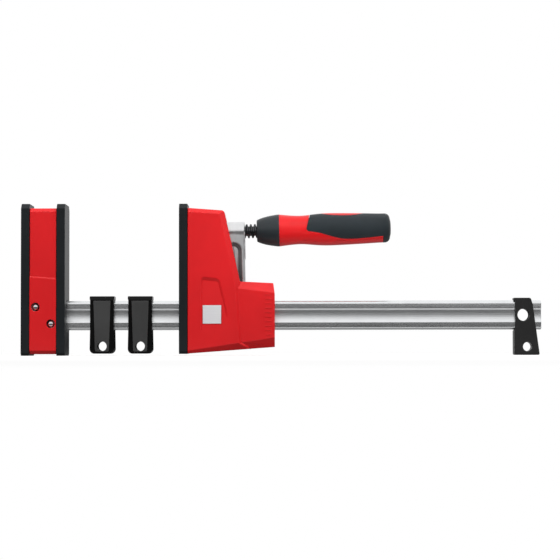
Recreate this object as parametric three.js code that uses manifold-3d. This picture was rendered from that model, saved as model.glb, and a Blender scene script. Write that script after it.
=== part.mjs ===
// Parallel clamp: a grooved steel rail with a pinned fixed jaw, a sliding jaw that a
// self-locking arm and a trapezoidal screw push along, two slide-on feet and an end clip.
// Millimetres. +Z is up, +X runs along the rail away from the fixed jaw, -Y is the front.
// Lengths along X are measured from the clamping face of the fixed jaw.
import * as THREE from 'three';
import { mergeVertices } from 'three/addons/utils/BufferGeometryUtils.js';
import Module from 'manifold-3d';

const wasm = await Module();
wasm.setup();

// Fits shared by all pieces
const seatGap = 0.3; // between pieces that are pressed or glued together
const slideGap = 0.4; // between the rail and what slides on it
const overrun = 5; // how far a cutting tool runs past the material

// Rail
const railHeight = 29;
const railThickness = 9;
const railBottom = 25; // above the bench
const railReach = 468; // free end, from the clamping face
const railEdgeRadius = 2.6;
const railGrooveWidth = 14.2;
const railGrooveDepth = 2;
const railGrooveFillet = 3.2;

// Jaws, shared sizes
const jawWidth = 40; // across Y
const padHeight = 149;
const padThickness = 8.2;
const padCornerChamfer = 4.6;
const jawOpening = 111.6; // between the clamping faces in the pose shown

// Fixed jaw
const fixedJawDepth = 43; // along X, over both pads
const shellSideInset = 0.5; // shells behind the pads' edges
const shellTopInset = 4.4;
const shellBottomInset = 1.5;
const shellWall = 3;
const shellBevel = 3.4;
const shellStepHeight = 76; // ledge across the covers
const shellStepSlant = 2; // by which the ledge drops towards the clamping face
const shellStepDepth = 0.7;
const shellPartingGap = 0.2;
const coreWebThickness = 19;
const coreFlangeThickness = 5.5;
const jawPinDiameter = 6;
const jawPinRecessDiameter = 8.4;
const jawPinInset = 1.2; // domes below the covers' faces
const jawPinDome = 1.6;
const upperPinBack = 28.8; // behind the clamping face
const upperPinHeight = 47.6;
const lowerPinBack = 13.8;
const lowerPinHeight = 31.2;

// Rail feet
const footLength = 24.4;
const footWidth = 18;
const footLift = 1.9; // above the bench
const footPlateThickness = 4;
const footRidgeHeight = 1.2;
const footWaistDepth = 0.7;
const footCornerRadius = 3.8;
const footPanelWidth = 17;
const footPanelTaper = 1.6;
const footPanelProud = 0.6;
const footLip = 1.5; // snap lips under the rail
const footLipHeight = 2.6;
const footHoleDiameter = 9.4;
const footHoleHeight = 9.2; // above the bench
const footNearPlace = 23.2; // near end of the first foot
const footSpacing = 37.5;

// End clip
const clipGrip = 27; // of the rail's end, from the clip's left edge
const clipTopLength = 16.4;
const clipBottomLength = 25;
const clipShoulderDrop = 6.6;
const clipShoulderOut = 2;
const clipWidth = 14;
const clipTopWall = 2;
const clipRecess = 1.1; // of its sleeve at the left
const clipBevel = 1.6;
const clipUpperHoleDiameter = 12;
const clipUpperHoleSetback = 9.3;
const clipLowerHoleDiameter = 10;
const clipLowerHoleSetback = 13;
const clipLowerHoleHeight = 8.2;

// Sliding jaw housing
const housingWall = 3;
const housingSideInset = 0.6;
const slidingPadLift = 1.6; // above the bench
const housingTopInset = 4.1;
const housingBottomInset = 1.9;
const housingTopLength = 35.6;
const housingTopDrop = 2.6;
const housingTopBevel = 3.6;
const housingRoomBevel = 1.6;
const boxLength = 85.2; // housing along the rail
const boxHeadroom = 16.9; // of the box's end, over the rail
const boxTopRise = 1.7; // of the box's top towards the jaw
const boxEndLift = 8.2;
const boxShoulder = 10.3;
const boxShoulderSetback = 1.4;
const boxWidth = 34;
const boxBevel = 6;
const boxRoomBevel = 4.5;
const boxRootSetback = 34; // where the housing's back meets the box, from the box's end
const creaseFootSetback = 29;
const armSlotWidth = 20.6;
const armSlotTopMargin = 3.2;
const armSlotEndClearance = 1.6;
const housingPanelLeft = 12.8;
const housingPanelTopLength = 18;
const housingPanelBottomLength = 30.4;
const housingPanelTop = 76.4;
const housingPanelBottom = 22;
const housingPanelDepth = 1;
const badgeSide = 18;
const badgeThickness = 1;
const badgeProud = 0.3;
const badgeBack = 23.8; // centre, behind the pad
const badgeHeight = 40.1;
const gripRibCount = 10;
const gripRibLength = 6.8;
const gripRibThickness = 0.9;
const gripRibProud = 0.5;
const gripRibEndMargin = 3.4;
const gripRibBottom = 20;
const gripRibTopMargin = 12.2; // below the box's top

// Sliding jaw, inner pieces
const guideFrontLength = 13.5;
const guideRearLength = 7;
const guideHeight = 46;
const thrustPlateThickness = 4.8;
const thrustPlateHeight = 33;

// Screw
const cantAngle = THREE.MathUtils.degToRad(1.3); // of arm and screw in the pose shown
const ballDrop = 27.4; // ball centre below the pad's top
const ballBack = 9.6; // ball centre behind the pad
const ballDiameter = 10;
const ballNeckDiameter = 7;
const cupDiameter = 16;
const cupLip = 2.4; // of the cup past the ball's centre
const threadDiameter = 14;
const threadPitch = 4;
const threadDepth = 2.25;
const threadCrest = 1.46;
const threadFlank = 0.6;
const threadStart = 11; // from the ball's centre along the screw
const threadPlay = 0.3;
const threadSides = 20;
const threadFadeTurns = 0.75;
const threadCutTurns = 6; // by which the tool for the nut's thread is longer than the nut
const collarPlace = 58.3;
const collarLength = 22.5;
const collarFrontDiameter = 22.5;
const collarTopDiameter = 31.6;
const collarFrontRound = 1.4;
const collarDish = 1.5;
const handleLength = 133;
const handleWaistDiameter = 28.2;
const handleWaistShare = 0.323; // places as shares of the length
const handleBulgeDiameter = 32;
const handleBulgeShare = 0.534;
const handleEndDiameter = 28.8;
const handleEndSetback = 11;
const handleCrown = 1.6;
const handleEndRound = 5;
const gripThickness = 2.4;
const gripStartShare = 0.361;
const gripUpperEdge = 12.9; // heights over the axis, in side view
const gripLowerEdge = 10.4;
const gripFrontLowerEdge = 3;
const gripRiseShare = 0.195; // over which the lower edge drops to its full depth
const gripCapLength = 8.5;
const gripCornerRound = 5;
const shankSetback = 37; // of the screw's end from the handle's end
const hexInsertDiameter = 14;
const hexInsertLength = 22;
const hexSocketFlats = 8;
const hexSocketDepth = 14;
const handleSides = 40;

// Sliding arm
const armBossDiameter = 19;
const armBossStart = 22; // from the ball's centre along the screw
const armBossEnd = 46.4;
const armPlateThickness = 18.2;
const armFrontPlace = 25;
const armRearInset = 0.4; // of the plate's back from the boss's end
const armPocketDepth = 5.6; // on each side
const armPocketDrop = 10; // below the screw's axis
const armPocketRim = 3.8;
const armPocketRound = 6;
const armFootRearRoom = 13.2; // to the rear guide, for the arm's travel
const armFootOverhang = 1.5; // in front of the plate
const armFootWidth = 22;
const armFootTop = 6.4; // over and under the rail slot
const armFootBottom = 8;
const armPlayOver = 0.7; // of the rail in the arm's slot, which is level in the pose shown
const armPlayUnder = 2.1;
const armFootCorner = 2.5;

// Shares used by outlines
const arcShares = [0.35, 0.7, 1]; // of a quarter turn, on rounded ends
const boxOverlapShare = 1.5; // of the box's root, hidden in the tall part

// Derived places
const halfJaw = jawWidth / 2;
const railTop = railBottom + railHeight;
const clipPlace = railReach - clipGrip;
const padBack = jawOpening + padThickness;
const housingFront = padBack + seatGap;
const boxEnd = housingFront + boxLength;
const rearGuideEnd = boxEnd - boxShoulderSetback - housingWall - seatGap;
const housingHalf = halfJaw - housingSideInset;
const ballPlace = padBack + ballBack;
const ballHeight = padHeight - ballDrop;
const boxHeight = railTop + boxHeadroom;
const shankLength = handleLength - shankSetback;
const gripStart = handleLength * gripStartShare;
const gripCapStart = handleLength - gripCapLength;
const overallLength = fixedJawDepth + railReach;

const colours = {
  red: 0xd9232b,
  black: 0x1d2023,
  softBlack: 0x2c3235,
  steel: 0xc6c8ca,
  darkSteel: 0x34363a,
  badge: 0xd2d2d4,
  castSteel: 0xb4b6b8,
};

// Turns a three.js geometry into a solid for joining and cutting.
function toSolid(geometry) {
  const bare = geometry.clone();
  bare.deleteAttribute('normal');
  bare.deleteAttribute('uv');
  const merged = mergeVertices(bare, 1e-4);
  return new wasm.Manifold(new wasm.Mesh({
    numProp: 3,
    vertProperties: new Float32Array(merged.attributes.position.array),
    triVerts: new Uint32Array(merged.index.array),
  }));
}

// Turns a solid back into a geometry.
function toGeometry(solid) {
  const mesh = solid.getMesh();
  const geometry = new THREE.BufferGeometry();
  geometry.setAttribute('position', new THREE.BufferAttribute(mesh.vertProperties, 3));
  geometry.setIndex(new THREE.BufferAttribute(mesh.triVerts, 1));
  geometry.computeVertexNormals();
  return geometry;
}

// The first geometry with the others joined to it.
function join(first, ...others) {
  return toGeometry(others.reduce((sum, other) => sum.add(toSolid(other)), toSolid(first)));
}

// The first geometry with the others cut away from it.
function cut(first, ...others) {
  return toGeometry(others.reduce((rest, other) => rest.subtract(toSolid(other)), toSolid(first)));
}

// What two geometries have in common.
function common(first, second) {
  return toGeometry(toSolid(first).intersect(toSolid(second)));
}

// A block between two corners.
function block([x0, x1], [y0, y1], [z0, z1]) {
  const geometry = new THREE.BoxGeometry(x1 - x0, y1 - y0, z1 - z0);
  return geometry.translate((x0 + x1) / 2, (y0 + y1) / 2, (z0 + z1) / 2);
}

// A closed outline from corners [u, v] or [u, v, radius], each corner with a radius rounded.
function outline(corners) {
  const shape = new THREE.Shape();
  corners.forEach(([u, v, radius = 0], index) => {
    const corner = new THREE.Vector2(u, v);
    const before = new THREE.Vector2(...corners.at(index - 1).slice(0, 2));
    const after = new THREE.Vector2(...corners[(index + 1) % corners.length].slice(0, 2));
    const toBefore = before.sub(corner).normalize();
    const toAfter = after.sub(corner).normalize();
    const half = Math.acos(THREE.MathUtils.clamp(toBefore.dot(toAfter), -1, 1)) / 2;
    const reach = radius / Math.tan(half);
    const start = corner.clone().addScaledVector(toBefore, reach);
    const end = corner.clone().addScaledVector(toAfter, reach);
    if (index === 0) shape.moveTo(start.x, start.y);
    else shape.lineTo(start.x, start.y);
    if (radius > 0) shape.quadraticCurveTo(corner.x, corner.y, end.x, end.y);
  });
  shape.closePath();
  return shape;
}

// A counterclockwise polygon with each side moved inwards by its own distance.
function inset(corners, distances) {
  const lines = corners.map(([u, v], index) => {
    const [nextU, nextV] = corners[(index + 1) % corners.length];
    const along = new THREE.Vector2(nextU - u, nextV - v).normalize();
    const inward = new THREE.Vector2(-along.y, along.x).multiplyScalar(distances[index]);
    return { point: new THREE.Vector2(u, v).add(inward), along };
  });
  return lines.map((line, index) => {
    const previous = lines.at(index - 1);
    const between = line.point.clone().sub(previous.point);
    const share = between.cross(line.along) / previous.along.cross(line.along);
    const meeting = previous.point.clone().addScaledVector(previous.along, share);
    return [meeting.x, meeting.y];
  });
}

// An outline in X and Z, extruded along Y.
function extrudeAcross(shape, [y0, y1], bevel = 0, curveSegments = 4) {
  const geometry = new THREE.ExtrudeGeometry(shape, {
    depth: y1 - y0 - bevel * 2,
    bevelEnabled: bevel > 0,
    bevelThickness: bevel,
    bevelSize: bevel,
    bevelOffset: -bevel,
    bevelSegments: 1,
    curveSegments,
  });
  return geometry.rotateX(Math.PI / 2).translate(0, y1 - bevel, 0);
}

// An outline in Y and Z, extruded along X.
function extrudeAlong(shape, [x0, x1], curveSegments = 4) {
  const options = { depth: x1 - x0, bevelEnabled: false, curveSegments };
  const geometry = new THREE.ExtrudeGeometry(shape, options);
  return geometry.rotateX(Math.PI / 2).rotateZ(Math.PI / 2).translate(x0, 0, 0);
}

// A profile of [radius, place] turned about the X axis.
function turned(profile, sides = 24) {
  const points = profile.map(([radius, place]) => new THREE.Vector2(radius, place));
  return new THREE.LatheGeometry(points, sides).rotateZ(-Math.PI / 2);
}

// A cylinder along Y through a point of the XZ plane.
function crossCylinder(diameter, x, z, length, sides = 24) {
  return new THREE.CylinderGeometry(diameter / 2, diameter / 2, length, sides).translate(x, 0, z);
}

function material(colour, roughness, metalness) {
  return new THREE.MeshStandardMaterial({ color: colour, roughness, metalness });
}

// A named piece of the clamp.
function piece(name, geometry, colour, roughness = 0.5, metalness = 0) {
  const mesh = new THREE.Mesh(geometry, material(colour, roughness, metalness));
  mesh.name = name;
  return mesh;
}

// Rail section: rounded edges and a shallow groove with soft shoulders on both wide sides.
function railSection() {
  const half = railThickness / 2;
  const middle = railBottom + railHeight / 2;
  const grooveHalf = railGrooveWidth / 2;
  const floor = half - railGrooveDepth;
  const side = (sign) => [
    [sign * half, middle - sign * railHeight / 2, railEdgeRadius],
    [sign * half, middle - sign * grooveHalf],
    [sign * floor, middle - sign * (grooveHalf - railGrooveFillet)],
    [sign * floor, middle + sign * (grooveHalf - railGrooveFillet)],
    [sign * half, middle + sign * grooveHalf],
    [sign * half, middle + sign * railHeight / 2, railEdgeRadius],
  ];
  return outline([...side(1), ...side(-1)]);
}

function rail() {
  const stock = extrudeAlong(railSection(), [-fixedJawDepth + padThickness + seatGap, railReach]);
  const holes = pinPlaces().map(([x, z]) => (
    crossCylinder(jawPinDiameter + seatGap * 2, x, z, railThickness + overrun * 2)));
  const clipHole = crossCylinder(clipUpperHoleDiameter, clipPlace + clipUpperHoleSetback,
    railBottom + railHeight / 2, railThickness + overrun * 2);
  return piece('rail', cut(stock, ...holes, clipHole), colours.steel, 0.32, 1);
}

function pinPlaces() {
  return [[-upperPinBack, upperPinHeight], [-lowerPinBack, lowerPinHeight]];
}

// A slot along X that leaves the rail free by a clearance.
function railSlot(clearance, [x0, x1]) {
  const half = railThickness / 2 + clearance;
  return block([x0, x1], [-half, half], [railBottom - clearance, railTop + clearance]);
}

// A black jaw face: a plate with chamfered top and bottom corners.
function padPlate([x0, x1], low = 0) {
  const c = padCornerChamfer;
  const section = outline([
    [-halfJaw + c / 2, low], [halfJaw - c / 2, low], [halfJaw, low + c / 2],
    [halfJaw, padHeight - c], [halfJaw - c, padHeight], [-halfJaw + c, padHeight],
    [-halfJaw, padHeight - c], [-halfJaw, low + c / 2],
  ]);
  return extrudeAlong(section, [x0, x1]);
}

// Core of the fixed jaw: an I section with a slot that takes the rail's end.
function fixedJawCore() {
  const front = -padThickness - seatGap;
  const back = -fixedJawDepth + padThickness + seatGap;
  const flangeHalf = halfJaw - shellSideInset - shellStepDepth - shellWall - seatGap;
  const webHalf = coreWebThickness / 2;
  const section = outline([
    [back, -flangeHalf], [back + coreFlangeThickness, -flangeHalf],
    [back + coreFlangeThickness, -webHalf], [front - coreFlangeThickness, -webHalf],
    [front - coreFlangeThickness, -flangeHalf], [front, -flangeHalf], [front, flangeHalf],
    [front - coreFlangeThickness, flangeHalf], [front - coreFlangeThickness, webHalf],
    [back + coreFlangeThickness, webHalf], [back + coreFlangeThickness, flangeHalf],
    [back, flangeHalf],
  ]);
  const bottom = shellBottomInset + shellWall + seatGap;
  const top = padHeight - shellTopInset - shellWall - seatGap;
  const options = { depth: top - bottom, bevelEnabled: false };
  const stock = new THREE.ExtrudeGeometry(section, options).translate(0, 0, bottom);
  const holes = pinPlaces().map(([x, z]) => (
    crossCylinder(jawPinDiameter + seatGap * 2, x, z, jawWidth)));
  const slot = railSlot(seatGap, [back - overrun, front + overrun]);
  return piece('fixed_jaw_core', cut(stock, slot, ...holes), colours.castSteel, 0.45, 0.9);
}

// Lifts the ledge's corners behind a middle place and drops those in front of it.
function slantLedge(geometry, middle) {
  const places = geometry.attributes.position;
  const near = shellStepDepth * 2;
  for (let index = 0; index < places.count; index += 1) {
    const away = Math.abs(places.getZ(index) - shellStepHeight);
    const sign = places.getX(index) < middle ? 1 : -1;
    if (away < near) places.setZ(index, places.getZ(index) + sign * shellStepSlant / 2);
  }
}

// One side cover of the fixed jaw; side is -1 for the front and 1 for the rear.
function fixedJawShell(name, side) {
  const lower = halfJaw - shellSideInset;
  const upper = lower - shellStepDepth;
  const top = padHeight - shellTopInset;
  const inner = upper - shellWall;
  const step = shellStepHeight;
  const parting = shellPartingGap / 2;
  const corners = [
    [parting, shellBottomInset], [lower - shellBevel, shellBottomInset],
    [lower, shellBottomInset + shellBevel], [lower, step],
    [upper, step + shellStepDepth], [upper, top - shellBevel], [upper - shellBevel, top],
    [parting, top], [parting, top - shellWall], [inner, top - shellWall],
    [inner, shellBottomInset + shellWall], [parting, shellBottomInset + shellWall],
  ].map(([y, z]) => [side * y, z]);
  const front = -padThickness - seatGap;
  const back = -fixedJawDepth + padThickness + seatGap;
  const stock = extrudeAlong(outline(side < 0 ? corners.reverse() : corners), [back, front]);
  slantLedge(stock, (back + front) / 2);
  const recesses = pinPlaces().map(([x, z]) => (
    crossCylinder(jawPinRecessDiameter, x, z, jawWidth)));
  return piece(name, cut(stock, ...recesses), colours.red, 0.38);
}

// A steel pin with a dome on each end.
function jawPin(name, [x, z]) {
  const half = halfJaw - shellSideInset - jawPinInset;
  const radius = jawPinDiameter / 2;
  const arc = arcShares.map((share) => share * Math.PI / 2);
  const dome = arc.map((angle) => [
    radius * Math.sin(angle), -half + jawPinDome * (1 - Math.cos(angle)),
  ]);
  const profile = [[0, -half], ...dome, ...dome.map(([r, y]) => [r, -y]).reverse(), [0, half]];
  const points = profile.map(([r, y]) => new THREE.Vector2(r, y));
  return piece(name, new THREE.LatheGeometry(points, 24).translate(x, 0, z), colours.steel, 0.2, 1);
}

function fixedJaw() {
  const group = new THREE.Group();
  const outer = padPlate([-fixedJawDepth, -fixedJawDepth + padThickness]);
  const inner = padPlate([-padThickness, 0]);
  const slot = railSlot(seatGap, [-padThickness - overrun, overrun]);
  const [upperPin, lowerPin] = pinPlaces();
  group.add(
    fixedJawCore(),
    fixedJawShell('fixed_jaw_front_shell', -1),
    fixedJawShell('fixed_jaw_rear_shell', 1),
    piece('fixed_jaw_outer_pad', outer, colours.black, 0.6),
    piece('fixed_jaw_inner_pad', cut(inner, slot), colours.black, 0.6),
    jawPin('upper_jaw_pin', upperPin),
    jawPin('lower_jaw_pin', lowerPin),
  );
  return group;
}

// A saddle that snaps over the rail and keeps work off it.
function railFoot(name, place) {
  const half = footWidth / 2;
  const slot = railThickness / 2 + slideGap;
  const top = railTop + slideGap + footPlateThickness;
  const lipTop = railBottom - slideGap;
  const low = footLift;
  const section = outline([
    [-half, low], [-slot, low], [-slot, lipTop - footLipHeight], [-slot + footLip, lipTop - footLip],
    [-slot + footLip, lipTop], [-slot, lipTop], [-slot, railTop + slideGap],
    [slot, railTop + slideGap], [slot, lipTop], [slot - footLip, lipTop],
    [slot - footLip, lipTop - footLip], [slot, lipTop - footLipHeight], [slot, low],
    [half, low], [half, top], [-half, top],
  ]);
  const end = place + footLength;
  const under = top - footPlateThickness;
  const middle = under / 2;
  const side = outline([
    [place, low, footCornerRadius], [end, low, footCornerRadius],
    [end - footWaistDepth, middle], [end - footWaistDepth, under], [end, under + footRidgeHeight],
    [end, top], [place, top], [place, under + footRidgeHeight],
    [place + footWaistDepth, under], [place + footWaistDepth, middle],
  ]);
  const body = common(extrudeAlong(section, [place, end]), extrudeAcross(side, [-half, half]));
  const centre = place + footLength / 2;
  const panelHalf = footPanelWidth / 2;
  const panel = outline([
    [centre - panelHalf + footPanelTaper, low + footCornerRadius / 2],
    [centre + panelHalf - footPanelTaper, low + footCornerRadius / 2],
    [centre + panelHalf, under], [centre - panelHalf, under],
  ]);
  const panels = [-1, 1].map((sign) => {
    const faces = [sign * (half - footPanelProud), sign * (half + footPanelProud)];
    return extrudeAcross(panel, faces.sort((a, b) => a - b));
  });
  const hole = crossCylinder(footHoleDiameter, centre, footHoleHeight, footWidth + overrun);
  return piece(name, cut(join(body, ...panels), hole), colours.black, 0.55);
}

// The clip at the rail's free end: a sleeve on the rail with a foot and two cross holes.
function endClip() {
  const left = clipPlace;
  const top = railTop + seatGap + clipTopWall;
  const shoulder = left + clipTopLength + clipShoulderOut;
  const side = outline([
    [left, 0, clipBevel], [left + clipBottomLength, 0, clipBevel],
    [shoulder, top - clipShoulderDrop], [left + clipTopLength, top, clipBevel],
    [left, top], [left, railTop + seatGap],
    [left + clipRecess, railTop - seatGap], [left + clipRecess, railBottom],
    [left, railBottom - clipRecess],
  ]);
  const stock = extrudeAcross(side, [-clipWidth / 2, clipWidth / 2], clipBevel / 2);
  const slot = railSlot(seatGap, [left - overrun, left + clipBottomLength + overrun]);
  const through = clipWidth + overrun;
  const upperHole = crossCylinder(clipUpperHoleDiameter, left + clipUpperHoleSetback,
    railBottom + railHeight / 2, through);
  const lowerHole = crossCylinder(clipLowerHoleDiameter, left + clipLowerHoleSetback,
    clipLowerHoleHeight, through);
  return piece('end_clip', cut(stock, slot, upperHole, lowerHole), colours.black, 0.5);
}

// Side outline of the housing's tall part, from its pad side.
function tallOutline(front) {
  const footSlope = (boxEndLift - housingBottomInset) / boxLength;
  const creaseFoot = boxEnd - creaseFootSetback;
  const top = padHeight - housingTopInset;
  return [
    [front, housingBottomInset],
    [creaseFoot, housingBottomInset + footSlope * (creaseFoot - housingFront)],
    [boxEnd - boxRootSetback, boxHeight + boxTopRise],
    [housingFront + housingTopLength, top - housingTopDrop],
    [front, top],
  ];
}

// Side outline of the housing's box, which runs along the rail, up to an end place.
function boxOutline(end) {
  const start = boxEnd - boxRootSetback * boxOverlapShare;
  const footSlope = (boxEndLift - housingBottomInset) / boxLength;
  const lift = (x) => boxEndLift - footSlope * (boxEnd - x);
  const rise = boxTopRise / boxRootSetback;
  return [
    [start, lift(start)], [end, lift(end)], [end, boxHeight - rise * (end - boxEnd)],
    [start, boxHeight + rise * (boxEnd - start)],
  ];
}

// Cuts the box off square at its end, with a shoulder that leans in above.
function boxEndCut() {
  const far = boxEnd + boxLength;
  const shoulderSlope = boxShoulderSetback / boxShoulder;
  const high = boxHeight + overrun;
  const low = boxHeight - boxShoulder;
  return extrudeAcross(outline([
    [boxEnd, -overrun], [far, -overrun], [far, high],
    [boxEnd - shoulderSlope * (high - low), high], [boxEnd, low],
  ]), [-jawWidth, jawWidth]);
}

// The room inside the housing, with all its walls moved in by a margin.
function housingRoom(margin = 0) {
  const wall = housingWall + margin;
  const walls = [wall, wall, wall, wall, 0];
  const boxWalls = [wall, wall, wall, 0];
  const tallHalf = housingHalf - wall;
  const boxHalf = boxWidth / 2 - wall;
  return join(
    extrudeAcross(outline(inset(tallOutline(housingFront - overrun), walls)),
      [-tallHalf, tallHalf], housingRoomBevel),
    extrudeAcross(outline(inset(boxOutline(boxEnd - boxShoulderSetback), boxWalls)),
      [-boxHalf, boxHalf], boxRoomBevel),
  );
}

// The housing is one moulded shell, open at the pad side, with a slot for the arm.
function housing() {
  const roomFront = housingFront - overrun;
  const boxHalf = boxWidth / 2;
  const outer = join(
    cut(extrudeAcross(outline(tallOutline(roomFront)), [-housingHalf, housingHalf],
      housingTopBevel),
    block([roomFront - overrun, housingFront], [-jawWidth, jawWidth], [-overrun, padHeight])),
    cut(extrudeAcross(outline(boxOutline(boxEnd + overrun * 2)), [-boxHalf, boxHalf], boxBevel),
      boxEndCut()),
  );
  const railHole = railSlot(slideGap * 2, [boxEnd - housingWall * 3, boxEnd + overrun]);
  const pockets = [-1, 1].flatMap((side) => [panelCut(side), badgeBlock(side, seatGap)]);
  const ribs = [-1, 1].flatMap((side) => gripRibs(side));
  const shell = cut(outer, housingRoom(), railHole, armSlot(), ...pockets);
  return piece('sliding_jaw_housing', join(shell, ...ribs), colours.red, 0.38);
}

// Opening in the housing's back and in the box's top, where the arm stands out.
function armSlot() {
  const half = armSlotWidth / 2;
  const top = ballHeight + armBossDiameter / 2 + armSlotTopMargin;
  const bossEnd = ballPlace + armBossEnd;
  const travel = collarPlace - armBossEnd;
  const sag = (ballHeight - boxHeight) * Math.sin(cantAngle);
  const end = bossEnd + sag + travel + armSlotEndClearance;
  const start = housingFront + housingTopLength - housingWall * 2;
  return block([start, end], [-half, half], [boxHeight - housingWall * 2, top]);
}

// Shallow recess whose floor runs out to the face at its foot.
function panelCut(side) {
  const left = housingFront + housingPanelLeft;
  const depth = housingPanelDepth;
  const shape = outline([
    [left, housingPanelBottom], [left + housingPanelBottomLength, housingPanelBottom],
    [left + housingPanelTopLength, housingPanelTop], [left, housingPanelTop],
  ]);
  const tool = extrudeAcross(shape, side > 0 ? [0, overrun] : [-overrun, 0]);
  const tilt = Math.atan2(depth, housingPanelTop - housingPanelBottom);
  return tool.translate(0, 0, -housingPanelBottom).rotateX(side * tilt)
    .translate(0, side * housingHalf, housingPanelBottom);
}

// The bare plate on each side, or the pocket that takes it.
function badgeBlock(side, clearance = 0) {
  const reach = badgeSide / 2 + clearance;
  const x = housingFront + badgeBack;
  const faces = [
    side * (housingHalf - badgeThickness - clearance),
    side * (housingHalf + (clearance > 0 ? overrun : badgeProud)),
  ].sort((a, b) => a - b);
  return block([x - reach, x + reach], faces, [badgeHeight - reach, badgeHeight + reach]);
}

// Fine ribs near the box's end, for the thumb.
function gripRibs(side) {
  const end = boxEnd - gripRibEndMargin;
  const face = boxWidth / 2;
  const faces = [side * (face - gripRibProud), side * (face + gripRibProud)].sort((a, b) => a - b);
  const rise = boxHeight - gripRibTopMargin - gripRibThickness - gripRibBottom;
  return Array.from({ length: gripRibCount }, (_, index) => {
    const bottom = gripRibBottom + rise * index / (gripRibCount - 1);
    return block([end - gripRibLength, end], faces, [bottom, bottom + gripRibThickness]);
  });
}

// A block that fills the housing's room over a stretch and runs on the rail.
function railGuide(name, [x0, x1]) {
  const middle = railBottom + railHeight / 2;
  const heights = [middle - guideHeight / 2, middle + guideHeight / 2];
  const stock = common(block([x0, x1], [-halfJaw, halfJaw], heights), housingRoom(seatGap));
  const slot = railSlot(slideGap, [x0 - overrun, x1 + overrun]);
  return piece(name, cut(stock, slot), colours.softBlack, 0.5);
}

// Steel plate behind the pad, dished for the thrust cup.
function thrustPlate() {
  const low = ballHeight - thrustPlateHeight / 2;
  const stock = block([housingFront, housingFront + thrustPlateThickness], [-halfJaw, halfJaw],
    [low, low + thrustPlateHeight]);
  const dish = new THREE.SphereGeometry(cupDiameter / 2 + seatGap, 24, 14)
    .translate(ballPlace, 0, ballHeight);
  const plate = cut(common(stock, housingRoom(seatGap)), dish);
  return piece('thrust_plate', plate, colours.castSteel, 0.4, 0.9);
}

function slidingJaw() {
  const group = new THREE.Group();
  const pad = cut(padPlate([jawOpening, padBack], slidingPadLift),
    railSlot(slideGap, [jawOpening - overrun, padBack + overrun]));
  group.add(
    housing(),
    piece('sliding_jaw_pad', pad, colours.black, 0.6),
    thrustPlate(),
    railGuide('rail_guide_front', [housingFront, housingFront + guideFrontLength]),
    railGuide('rail_guide_rear', [rearGuideEnd - guideRearLength, rearGuideEnd]),
    piece('front_badge', badgeBlock(-1), colours.badge, 0.4),
    piece('rear_badge', badgeBlock(1), colours.badge, 0.4),
  );
  return group;
}

// A right-hand thread about X as one closed solid. Its radius fades to the root at the ends.
function threadSolid({ root, crest, crestLength, flankLength, turns, start }) {
  const steps = Math.round(turns * threadSides);
  const half = crestLength / 2;
  const offsets = [-half - flankLength, -half, half, half + flankLength];
  const positions = [];
  for (let step = 0; step <= steps; step += 1) {
    const angle = step / threadSides * Math.PI * 2;
    const nearestEnd = Math.min(step, steps - step) / threadSides;
    const fade = Math.min(1, nearestEnd / threadFadeTurns);
    const top = root + (crest - root) * fade;
    offsets.forEach((offset, corner) => {
      const radius = corner === 1 || corner === 2 ? top : root;
      const x = start + step / threadSides * threadPitch + offset;
      positions.push(x, radius * Math.cos(angle), radius * Math.sin(angle));
    });
  }
  const lastX = start + steps / threadSides * threadPitch + offsets[3];
  const firstHub = positions.length / 3;
  positions.push(start + offsets[0], 0, 0, lastX, 0, 0);
  const at = (step, corner) => step * 4 + corner;
  const faces = [];
  const quad = (a, b, c, d) => faces.push(a, b, c, a, c, d);
  for (let step = 0; step < steps; step += 1) {
    for (let corner = 0; corner < 3; corner += 1) {
      quad(at(step, corner), at(step + 1, corner), at(step + 1, corner + 1), at(step, corner + 1));
    }
    const above = step + threadSides;
    if (above < steps) quad(at(step, 3), at(step + 1, 3), at(above + 1, 0), at(above, 0));
  }
  for (let step = 0; step < threadSides; step += 1) {
    faces.push(firstHub, at(step + 1, 0), at(step, 0));
    faces.push(firstHub + 1, at(steps - threadSides + step, 3), at(steps - threadSides + step + 1, 3));
  }
  const firstWall = [at(0, 0), at(0, 1), at(0, 2), at(0, 3), at(threadSides, 0)];
  const lastWall = [at(steps, 3), at(steps, 2), at(steps, 1), at(steps, 0),
    at(steps - threadSides, 3)];
  for (let index = 0; index < 4; index += 1) {
    faces.push(firstHub, firstWall[index], firstWall[index + 1]);
    faces.push(firstHub + 1, lastWall[index], lastWall[index + 1]);
  }
  const geometry = new THREE.BufferGeometry();
  geometry.setAttribute('position', new THREE.Float32BufferAttribute(positions, 3));
  geometry.setIndex(faces);
  return geometry;
}

const threadRoot = threadDiameter / 2 - threadDepth;

// The screw, with its ball end at the origin: ball, neck, thread and the shank in the handle.
function spindle() {
  const threadTurns = (collarPlace - threadStart) / threadPitch - 1;
  const thread = threadSolid({
    root: threadRoot,
    crest: threadDiameter / 2,
    crestLength: threadCrest,
    flankLength: threadFlank,
    turns: threadTurns,
    start: threadStart + threadPitch / 2,
  });
  const ball = new THREE.SphereGeometry(ballDiameter / 2, 20, 12);
  const neck = turned([
    [0, 0], [ballNeckDiameter / 2, 0], [ballNeckDiameter / 2, threadStart - threadPitch / 2],
    [threadRoot, threadStart], [threadRoot, collarPlace + shankLength],
    [0, collarPlace + shankLength],
  ], threadSides);
  return piece('spindle', join(ball, neck, thread), colours.darkSteel, 0.4, 0.9);
}

// The hemispherical cup that holds the screw's ball and cants in the thrust plate.
function thrustCup() {
  const stock = common(
    new THREE.SphereGeometry(cupDiameter / 2, 24, 14),
    block([-cupDiameter, cupLip], [-cupDiameter, cupDiameter], [-cupDiameter, cupDiameter]),
  );
  const socket = new THREE.SphereGeometry(ballDiameter / 2 + seatGap, 20, 12);
  return piece('thrust_cup', cut(stock, socket), colours.steel, 0.35, 1);
}

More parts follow.
